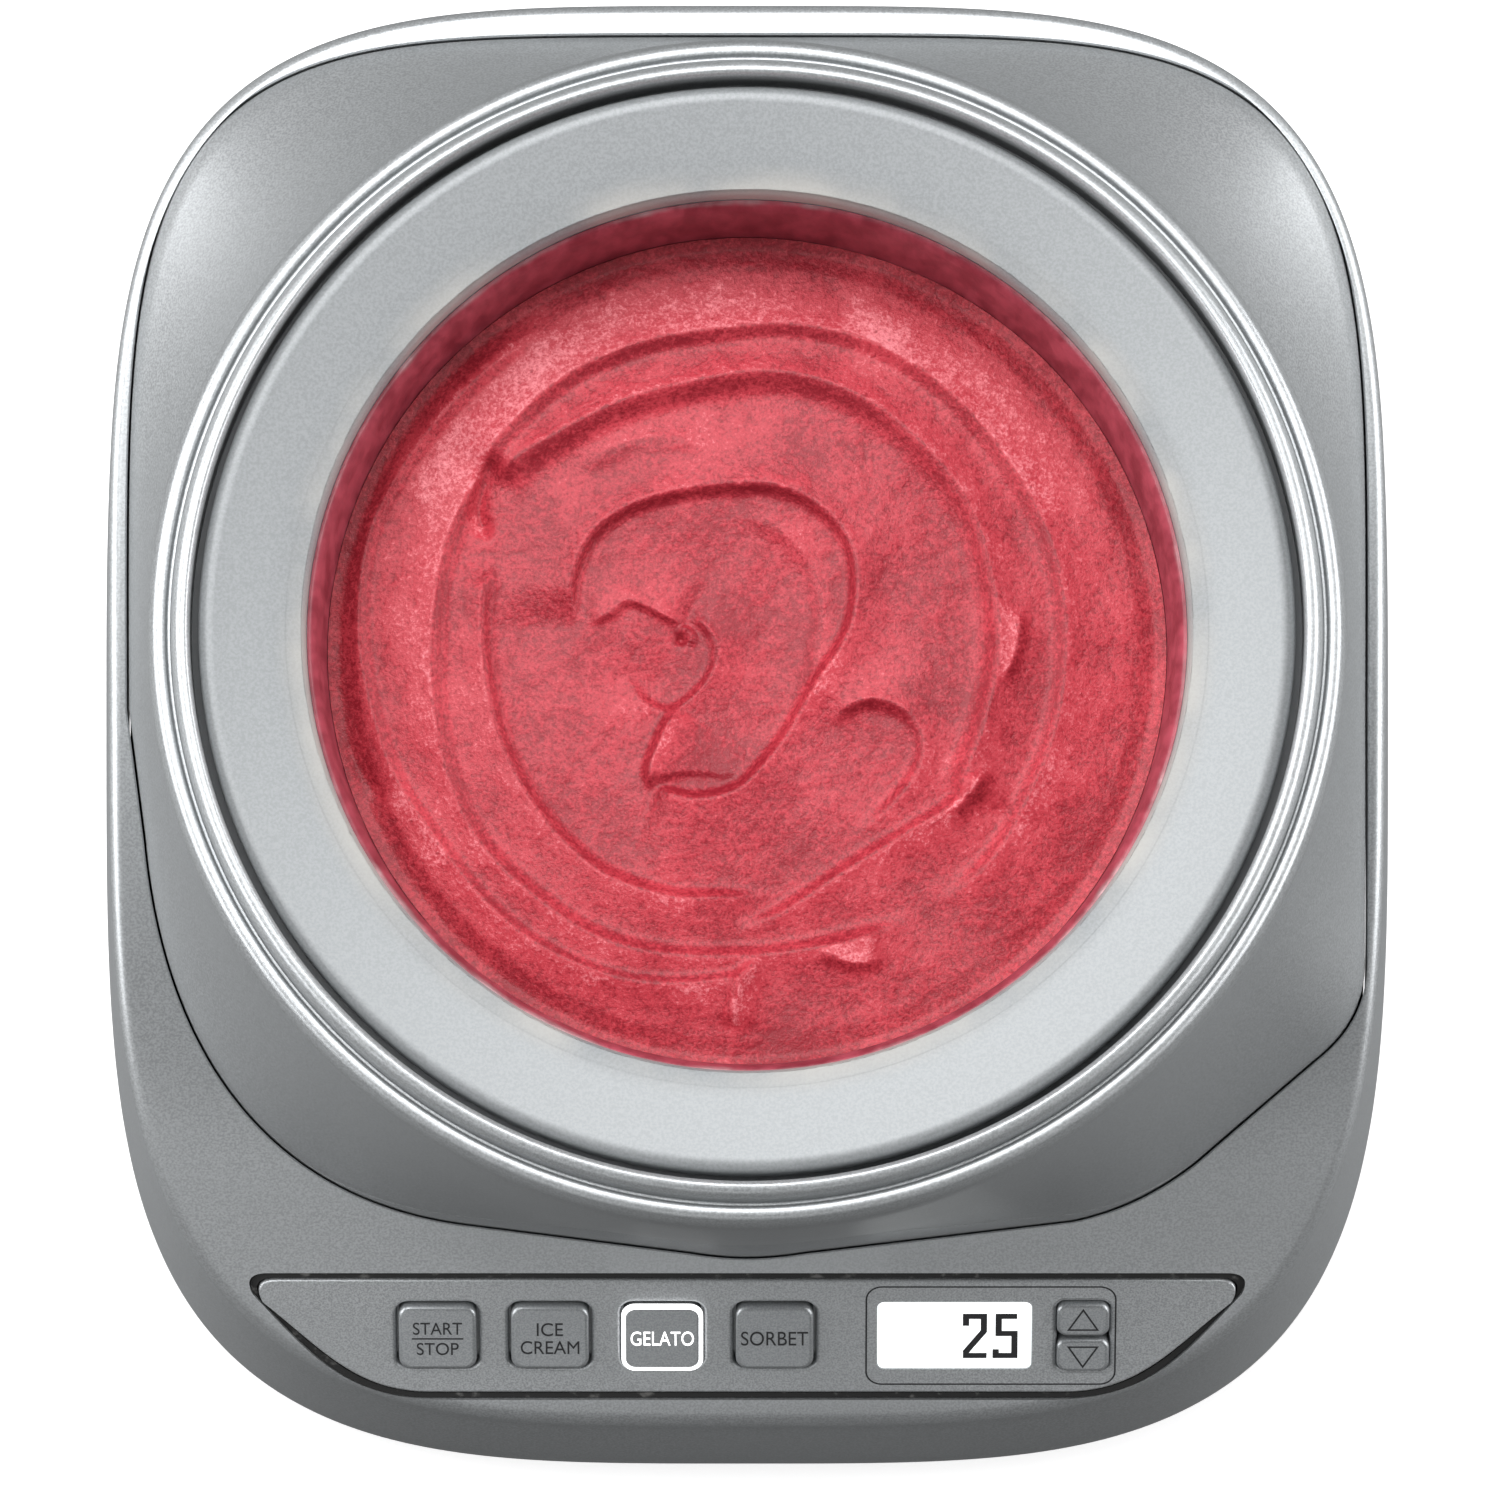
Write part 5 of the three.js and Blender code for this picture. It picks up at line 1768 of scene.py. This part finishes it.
@dataclass
class Panel:
    """The sloping control panel: fascia, joint, keys, display and their printing, in panel millimetres.

    Attributes:
        shop: Shared tools.
        form: The housing's outlines, which hold the deck's plane.
        middle: Y of the panel's middle.
        half_top: Half the fascia's width at its top edge.
        half_bottom: Half its straight bottom edge.
        top: Its top edge.
        bottom: Its bottom edge.
        thick: Its thickness.
        bevel: Radius of its rounded edge.
        key: Width and height of a mode key.
        first_key: Middle of the first mode key.
        pitch: From one mode key to the next.
        time_key: Width and height of a time key.
        time_x: Middle of the time keys.
        display: Width and height of the display.
        display_x: Its middle.
        place: From panel millimetres to the machine's metres, apart from scale.
    """

    shop: Workshop
    form: HousingForm = HousingForm()
    middle: float = -104.9
    half_top: float = 88.0
    half_bottom: float = 57.0
    top: float = 12.2
    bottom: float = -12.7
    thick: float = 2.2
    bevel: float = 0.45
    key: Point2 = (13.9, 13.7)
    first_key: float = -55.4
    pitch: float = 20.1
    time_key: Point2 = (9.4, 7.1)
    time_x: float = 60.1
    display: Point2 = (27.8, 14.9)
    display_x: float = 37.1
    place: Matrix = field(init=False)

    def __post_init__(self) -> None:
        """Works out the panel's place on the deck."""
        spot = Vector((0, self.middle, self.form.deck_plane(self.middle))) * MM
        self.place = Matrix.Translation(spot) @ Matrix.Rotation(self.form.slope, 4, "X")

    def outline(self, grow: float) -> Outline:
        """The fascia's outline: a straight top, a shorter bottom and swept ends.

        Args:
            grow: How much larger it is than the fascia.

        Returns:
            Its points.
        """
        t, b, w = self.top + grow, self.bottom - grow, self.half_top + grow
        start, corner = self.half_bottom, (w - 1.2, t - 4.6)
        sweep = bezier([(start, b), (start + 13 + grow, b), (w - 12, b + 9), corner], 28)
        right = sweep + bezier([corner, (w + 0.6, t), (w - 4, t)], 14)[1:]
        return right + [(-x, y) for x, y in reversed(right)]

    def opening(self) -> bpy.types.Object:
        """Returns the block that cuts the fascia's opening out of the deck."""
        block = Slab()
        edge = self.outline(1.65)
        block.flat([edge], -9)
        block.wall([(edge, -9), (edge, 9)])
        block.flat([edge], 9)
        return block.close("panel_opening", self.place)

    def build(self) -> None:
        """Builds and seats the panel's pieces."""
        self._fascia()
        self._gasket()
        self._mode_keys()
        self._time_keys()
        self._screen()
        self._inside()

    def _fascia(self) -> None:
        """The fascia, with a rounded trough round each mode key."""
        keys = [self.first_key + i * self.pitch for i in range(4)]
        plate = Slab()
        troughs = [rounded_rectangle(self.key[0] + 2.3, self.key[1] + 2.2, 2.9, x) for x in keys]
        window = rounded_rectangle(*self.display, 1.4, self.display_x)
        pair = rounded_rectangle(self.time_key[0] + 1.6, self.time_key[1] * 2 + 2.3, 2.3, self.time_x)
        plate.flat([self.outline(-self.bevel), *troughs, window, pair], 0)
        edge = [(self.outline(-self.bevel * (1 - math.sin(a))), -self.bevel * (1 - math.cos(a)))
                for a in np.linspace(0, 1.57, 6)]
        plate.wall([*edge, (self.outline(0), -self.thick)])
        holes: list[Outline] = []
        for x in keys:
            holes.append(self._trough(plate, self.key[0], self.key[1], 2.9, x, 1.15, 0.42))
        holes.append(window)
        plate.wall([(window, 0), (window, -self.thick)])
        width, height = self.time_key[0] - 0.7, self.time_key[1] * 2
        holes.append(self._trough(plate, width, height, 2.3, self.time_x, 1.15, 0.35))
        plate.flat([self.outline(0), *holes], -self.thick)
        paint = self.shop.finish(FASCIA_SILVER)
        seat(plate.close("fascia_skin", self.place), paint, "base", "panel_fascia")

    def _trough(self, plate: Slab, width: float, height: float, radius: float, x: float, reach: float,
                hole: float) -> Outline:
        """Adds the rounded wall that falls from the fascia's face to the hole of a key.

        Args:
            plate: The fascia.
            width: The key's width.
            height: The key's height.
            radius: The trough's corner radius at the face.
            x: The key's middle.
            reach: How far the trough reaches out from the key.
            hole: Gap between the key and its hole.

        Returns:
            The hole's outline below the trough.
        """
        stations = []
        for a in np.linspace(0, math.pi / 2, 7):
            out = mix(hole, reach, 1 - math.sin(a))
            grow_y = mix(hole, reach - 0.05, 1 - math.sin(a))
            corner = radius - (reach - out)
            shape = rounded_rectangle(width + 2 * out, height + 2 * grow_y, corner, x)
            stations.append((shape, -0.9 * (1 - math.cos(a))))
        stations.append((stations[-1][0], -self.thick))
        plate.wall(stations)
        return stations[-1][0]

    def _gasket(self) -> None:
        """The black joint round the fascia."""
        seal = Slab()
        inside, outside = self.outline(0.3), self.outline(1.45)
        sunk = -0.5
        seal.flat([outside, inside], sunk)
        for side in (outside, inside):
            seal.wall([(side, sunk), (side, -self.thick)])
        seal.flat([outside, inside], -self.thick)
        rubber = self.shop.finish(RUBBER)
        seat(seal.close("panel_joint", self.place), rubber, "base", "panel_gasket")

    def _cap(self, name: str, width: float, height: float, radius: float, at: Point2,
             flange: Point2) -> bpy.types.Object:
        """A key cap with a rounded upper edge and a flange below the fascia.

        Args:
            name: The piece's name.
            width: The cap's width.
            height: The cap's height.
            radius: Its corners' radius.
            at: Its middle.
            flange: How much wider and higher the flange is.

        Returns:
            The cap.
        """
        under, proud, soft = -self.thick - 0.3, 0.9, 0.75
        cap = Slab()
        skirt = rounded_rectangle(width + flange[0], height + flange[1], 1, *at)
        base = rounded_rectangle(width, height, radius, *at)
        cap.flat([skirt], under - 1.2)
        cap.wall([(skirt, under - 1.2), (skirt, under)])
        cap.flat([skirt, base], under)
        stations = [(base, under)]
        for a in np.linspace(0, math.pi / 2, 7):
            inset = soft * (1 - math.cos(a))
            shape = rounded_rectangle(width - 2 * inset, height - 2 * inset, radius - inset * 0.8, *at)
            stations.append((shape, proud - soft + soft * math.sin(a)))
        cap.wall(stations)
        cap.flat([stations[-1][0]], proud)
        return cap.close(name, self.place)

    def _mode_keys(self) -> None:
        """The four mode keys and their lettering, with the lit frame of the chosen one."""
        paint, ink, lit = (self.shop.finish(f) for f in (KEY_SILVER, BLACK_INK, LIT_PRINT))
        words = {
            "start_stop": [("START", 8.8, 2.7, 2.2), ("STOP", 7.5, 2.7, -2.3)],
            "ice_cream": [("ICE", 4.7, 2.9, 2.0), ("CREAM", 10.5, 2.9, -2.0)],
            "gelato": [("GELATO", 11.3, 3.1, 0.0)],
            "sorbet": [("SORBET", 12.0, 3.1, 0.0)],
        }
        for i, (key, lines) in enumerate(words.items()):
            x, body = self.first_key + i * self.pitch, f"{key}_button"
            seat(self._cap(f"{key}_cap", *self.key, 2.2, (x, 0), (3.1, 2.9)), paint, body, body)
            print_finish = lit if key == "gelato" else ink
            for number, (word, width, height, y) in enumerate(lines, 1):
                letters = self._letters(f"{key}_word_{number}", word, width, height, (x, y))
                seat(letters, print_finish, body)
            if key == "start_stop":
                rule = [(x - 4.6, -0.05), (x + 4.6, -0.05)]
                seat(self._ribbon("start_stop_rule", rule, 0.3, 0.91), ink, body)
            if key == "gelato":
                seat(self._lit_frame(x), lit, body)

    def _lit_frame(self, x: float) -> bpy.types.Object:
        """The glowing edge of the chosen key.

        Args:
            x: The key's middle.

        Returns:
            The frame.
        """
        frame_ring = Slab()
        w, h = self.key
        stations = [(0.34, 0.15), (0.34, 0.72), (0.26, 0.9), (0.05, 0.96), (-0.25, 0.97), (-0.38, 0.93),
                    (-0.38, 0.8), (-0.1, 0.15)]
        shapes = [(rounded_rectangle(w + 2 * out, h + 2 * out, 2.2 + out * 0.8, x), z)
                  for out, z in stations]
        frame_ring.wall([*shapes, shapes[0]])
        return frame_ring.close("gelato_lit_frame", self.place)

    def _letters(self, name: str, text: str, width: float, height: float, at: Point2) -> bpy.types.Object:
        """Printed letters on a key's face.

        Args:
            name: The piece's name.
            text: The letters.
            width: The line's width.
            height: The letters' height.
            at: The line's middle.

        Returns:
            The letters.
        """
        curve = bpy.data.curves.new(name, "FONT")
        curve.body = text
        curve.size = 1.0
        curve.extrude = 0.5
        carrier = bpy.data.objects.new(f"{name}_curve", curve)
        bpy.context.scene.collection.objects.link(carrier)
        mesh = bpy.data.meshes.new_from_object(carrier.evaluated_get(bpy.context.evaluated_depsgraph_get()))
        bpy.data.objects.remove(carrier)
        points = np.array([v.co[:] for v in mesh.vertices])
        low, high = points.min(axis=0), points.max(axis=0)
        wanted = np.array([width, height, 0.04])
        middle = np.array([at[0], at[1], 0.92])
        points = ((points - (low + high) / 2) / (high - low) * wanted + middle) * MM
        mesh.vertices.foreach_set("co", points.ravel())
        piece = dress_mesh(name, mesh, 30)
        piece.data.transform(self.place)
        return piece

    def _ribbon(self, name: str, path: Outline, width: float, z: float,
                closed: bool = False) -> bpy.types.Object:
        """A printed line of even width with mitred corners.

        Args:
            name: The piece's name.
            path: Its middle line.
            width: Its width.
            z: The height of the face that it is printed on.
            closed: Whether its end joins its start.

        Returns:
            The line.
        """
        p = np.array(path, dtype=float)
        ahead = np.roll(p, -1, axis=0) - p
        behind = p - np.roll(p, 1, axis=0)
        if not closed:
            ahead[-1], behind[0] = behind[-1], ahead[0]
        unit = [v / np.hypot(*v.T)[:, None] for v in (ahead, behind)]
        normals = [np.column_stack([-v[:, 1], v[:, 0]]) for v in unit]
        bisector = normals[0] + normals[1]
        bisector /= np.sum(bisector * normals[0], axis=1)[:, None]
        left, right = p + bisector * width / 2, p - bisector * width / 2
        high, low = z + 0.03, z - 0.02
        slab = Slab()
        if closed:
            one, other = [[tuple(q) for q in side] for side in (left, right)]
            slab.wall([(one, low), (one, high), (other, high), (other, low), (one, low)])
        else:
            edge = [tuple(q) for q in [*left, *right[::-1]]]
            slab.flat([edge], low)
            slab.wall([(edge, low), (edge, high)])
            slab.flat([edge], high)
        return slab.close(name, self.place, 30)

    def _time_keys(self) -> None:
        """The two time keys, each with an open triangle."""
        paint, ink = self.shop.finish(KEY_SILVER), self.shop.finish(BLACK_INK)
        for body, arrow in (("time_up_button", Arrow.UP), ("time_down_button", Arrow.DOWN)):
            name = body.removesuffix("_button")
            y = arrow.value * 3.9
            seat(self._cap(f"{name}_cap", *self.time_key, 1.9, (self.time_x, y), (3, 0)), paint, body, body)
            corners = [(-2.6, -2.0), (2.6, -2.0), (0, 2.4)]
            path = [(self.time_x + u, y + v * arrow.value) for u, v in corners]
            seat(self._ribbon(f"{name}_arrow", path, 0.32, 0.9, True), ink, body)

    def _screen(self) -> None:
        """The lit display with its two digits, and the thin printed frame round it and the time keys."""
        ink, white = self.shop.finish(BLACK_INK), self.shop.finish(SCREEN)
        w, h = self.display
        lens = Slab()
        outer = rounded_rectangle(w - 0.3, h - 0.3, 1.25, self.display_x)
        inner = rounded_rectangle(w - 0.7, h - 0.7, 1.05, self.display_x)
        lens.flat([outer], -1.9)
        lens.wall([(outer, -1.9), (outer, -0.15), (inner, 0.0)])
        lens.flat([inner], 0.0)
        seat(lens.close("display_lens", self.place), white, "base", "display_window")
        two = [(0.55, 7.2), (0.55, 9.3), (3.75, 9.3), (3.75, 6.0), (0.6, 1.5), (0.6, 0.6), (4.3, 0.6)]
        five = [(4.3, 9.3), (1.0, 9.3), (1.0, 5.5), (3.85, 5.5), (3.85, 0.6), (0.5, 0.6), (0.5, 2.0)]
        for name, path, x in (("digit_two", two, 38.6), ("digit_five", five, 44.0)):
            placed = [(x + u, v - 5.0) for u, v in path]
            seat(self._ribbon(name, placed, 1.15, 0.02), ink, "base")
        line = rounded_rectangle(44.6, 21.6, 2.8, 43.6)
        seat(self._ribbon("display_frame_line", line, 0.3, 0.0, True), ink, "base")

    def _inside(self) -> None:
        """Dresses the parts behind the fascia."""
        self.shop.paint({
            "keypad_mat": RUBBER, "control_board": BOARD, "lcd_module": LCD_CASE,
            "gelato_lamp": LAMP, "ice_cream_lamp": LAMP_OFF, "sorbet_lamp": LAMP_OFF,
        })


# ---------------------------------------------------------------- drive and power


@dataclass
class Drive:
    """The motor, its gear train and the hub that turns the bowl.

    Attributes:
        shop: Shared tools.
        motor: X and Y of the motor's axis.
        corner: How far its screws are from that axis along X and along Y.
        coil: Middle radius of its coils.
        wraps: How many wraps each coil shows.
    """

    shop: Workshop
    motor: Point2 = (-15.566, -27.541)
    corner: float = 26.0
    coil: float = 20.5
    wraps: int = 44

    def build(self) -> None:
        """Dresses the solids that are kept and builds the turned and wound pieces."""
        self.shop.paint({
            "motor_plate": STEEL, "output_gear": NYLON, "idler_gear": NYLON, "motor_pinion": BRASS,
            "motor_stator": LAMINATION, "motor_end_cap": STEEL, "motor_rotor": STEEL,
            "drive_hub": HUB_MOULDING, "idler_axle": STEEL,
        })
        self._sleeve("bearing_skin", BRASS, "base", "output_bearing", (5.15, 9.0, 52.5, 56.8))
        self._sleeve("shaft_seal_skin", RUBBER, "base", "shaft_seal", (5.35, 8.4, 57.1, 58.3))
        self._sleeve("shaft_clip_skin", STEEL, "turntable", "shaft_clip", (5.3, 8.6, 45.3, 46.5))
        shaft = [(0, 40.3), *soften([(5, 40.3, 0.6), (5, 61.5, 0.8)]), (0, 61.5)]
        self.shop.turn("output_shaft_skin", STEEL, shaft, "turntable", "output_shaft", 48)
        sleeve = [(3.15, 37.6), (6, 37.6), (6, 40.4), (3.15, 40.4)]
        bearing = self.shop.lathe.turn("motor_bearing_pattern", sleeve, self.shop.finish(BRASS), 48)
        self.shop.set_out("motor_bearing_skin", BRASS, bearing, [(*self.motor, 0.0)], "motor_bearing")
        self._coil("coil_upper_wound", "motor_coil_upper", 34.2)
        self._coil("coil_lower_wound", "motor_coil_lower", 11.4)
        for number, place in enumerate(HANGERS, 1):
            spot = (*place, 36.2)
            self.shop.screw(f"hanger_screw_{number}", 3.2, 1.5, 1.5, 10.0, spot, f"plate_screw_{number}")
        for number, side in enumerate((-1, 1), 1):
            spot = (self.motor[0] + side * self.corner, self.motor[1] - side * self.corner, 5.75)
            self.shop.screw(f"stator_screw_{number}", 3.0, 1.0, 1.5, 33.5, spot, f"motor_screw_{number}")

    def _sleeve(self, name: str, finish: Finish, body: str, node: str,
                sizes: tuple[float, float, float, float]) -> None:
        """A sleeve on the bowl's axis with softened edges.

        Args:
            name: The piece's name.
            finish: Its finish.
            body: The body that it rides on.
            node: The solid that it replaces.
            sizes: Inner and outer radius, bottom and top.
        """
        inner, outer, bottom, top = sizes
        corners = [(inner, bottom, 0.2), (outer, bottom, 0.2), (outer, top, 0.2), (inner, top, 0.2)]
        self.shop.turn(name, finish, soften(corners, 4), body, node, 64)

    def _coil(self, name: str, node: str, middle: float) -> None:
        """A ring coil whose wraps lie side by side round it.

        Args:
            name: The piece's name.
            node: The solid that it replaces.
            middle: Height of its middle.
        """
        pitch = TURN / self.wraps
        section = rounded_rectangle(9.0, 2.6, 1.1)[::3]
        loops = []
        for t, grow in ((-0.5, 0.86), (-0.25, 0.97), (0.0, 1.0), (0.25, 0.97), (0.5, 0.86)):
            turn = t * pitch
            sized = [(self.coil + u * grow, v * grow) for u, v in section]
            ring = [(r * math.cos(turn), r * math.sin(turn), z) for r, z in sized]
            loops.append(np.array(ring) * MM)
        wrap = to_mesh(f"{name}_wrap", *capped(loops), 60)
        places = [(*self.motor, middle)] * self.wraps
        self.shop.set_out(name, COPPER, wrap, places, node, pitch)


@dataclass
class Power:
    """The power board with its transformer and relay.

    Attributes:
        shop: Shared tools.
    """

    shop: Workshop

    def build(self) -> None:
        """Dresses the solids."""
        self.shop.paint({"power_board": BOARD, "transformer": TAPE, "motor_relay": RELAY})


# ---------------------------------------------------------------- studio


@dataclass(frozen=True)
class SoftLight:
    """A rectangular soft light.

    Attributes:
        name: Its name.
        place: Where it is, in metres.
        size: Its width and depth in metres.
        power: Its power in watts.
    """

    name: str
    place: Point3
    size: Point2
    power: float

    def hang(self, aim: Point3) -> None:
        """Puts the light in the scene.

        Args:
            aim: The point that it faces.
        """
        lamp = bpy.data.lights.new(self.name, "AREA")
        lamp.shape = "RECTANGLE"
        lamp.size, lamp.size_y = self.size
        lamp.energy = self.power
        light = bpy.data.objects.new(self.name, lamp)
        light.location = self.place
        light.rotation_euler = (Vector(self.place) - Vector(aim)).to_track_quat("Z", "Y").to_euler()
        bpy.context.scene.collection.objects.link(light)


@dataclass
class Studio:
    """The pale floor, the soft lights and the camera.

    Attributes:
        target: What the camera looks at.
        distance: How far away it is.
        tilt: How far it leans to the front, in degrees.
        lens: Focal length in millimetres.
        pool: Radii in metres between which the floor's glow fades.
        near: The glow by the machine.
        far: The glow further out.
        aim: The point that the lights face.
        surround: Strength of the world's light.
        lights: The soft lights.
    """

    target: Point3 = (0.0005, -0.0212, 0.223)
    distance: float = 3.0
    tilt: float = 7.5
    lens: float = 423.0
    pool: Point2 = (0.19, 0.6)
    near: Colour = (0.68, 0.68, 0.68)
    far: Colour = (0.5, 0.5, 0.5)
    aim: Point3 = (0.0, 0.0, 0.12)
    surround: float = 0.15
    lights: tuple[SoftLight, ...] = (
        SoftLight("light_overhead", (-0.3, 0.65, 1.95), (2.0, 1.3), 57.0),
        SoftLight("light_left", (-1.3, 0.05, 0.5), (1.8, 0.9), 29.0),
        SoftLight("light_right", (1.3, 0.1, 0.5), (1.8, 0.9), 30.0),
        SoftLight("light_front", (-0.3, -1.7, 0.6), (1.6, 0.5), 2.6),
    )

    def build(self) -> None:
        """Sets up the floor, the lights and the camera."""
        self._floor()
        self._camera()
        self._world()
        for light in self.lights:
            light.hang(self.aim)
        bpy.context.scene.view_settings.view_transform = "Standard"

    def _floor(self) -> None:
        """A large pale floor that glows by itself and that the machine doesn't mirror."""
        mesh = bpy.data.meshes.new("studio_floor")
        mesh.from_pydata([(-6, -6, 0), (6, -6, 0), (6, 6, 0), (-6, 6, 0)], [], [(0, 1, 2, 3)])
        floor = bpy.data.objects.new("studio_floor", mesh)
        bpy.context.scene.collection.objects.link(floor)
        g = Graph("studio_floor")
        speck = g.noise(0.05, 2.0)
        away = g.add("ShaderNodeVectorMath", {"operation": "LENGTH"}, {0: g.place}, "Value")
        glow = g.blend(away.band(*self.pool), self.near, self.far)
        mesh.materials.append(g.finish(
            Base_Color=self.far, Roughness=(speck - 0.5) * 0.1 + 0.8,
            Emission_Color=glow, Emission_Strength=1.0,
        ))
        floor.visible_diffuse = False
        floor.visible_glossy = False

    def _camera(self) -> None:
        """The camera, high above the front."""
        lean = math.radians(self.tilt)
        lens = bpy.data.cameras.new("camera")
        lens.lens = self.lens
        lens.sensor_width = 36.0
        lens.clip_end = 20.0
        camera = bpy.data.objects.new("camera", lens)
        away = Vector((0.0, -math.sin(lean), math.cos(lean))) * self.distance
        camera.location = Vector(self.target) + away
        camera.rotation_euler = (lean, 0.0, 0.0)
        bpy.context.scene.collection.objects.link(camera)
        bpy.context.scene.camera = camera

    def _world(self) -> None:
        """A dim white surround."""
        world = bpy.data.worlds.new("studio")
        world.use_nodes = True
        background = world.node_tree.nodes["Background"]
        background.inputs["Color"].default_value = (1.0, 1.0, 1.0, 1.0)
        background.inputs["Strength"].default_value = self.surround
        bpy.context.scene.world = world


def main() -> None:
    """Builds the machine from the table up."""
    logging.basicConfig(level=logging.INFO, format="%(asctime)s %(name)s: %(message)s")
    Studio().build()
    shop = Workshop()
    panel = Panel(shop)
    Housing(shop).build(panel.opening())
    panel.build()
    Bowl(shop).build()
    Sorbet(shop).build()
    Drive(shop).build()
    Power(shop).build()


if __name__ == "__main__":
    main()
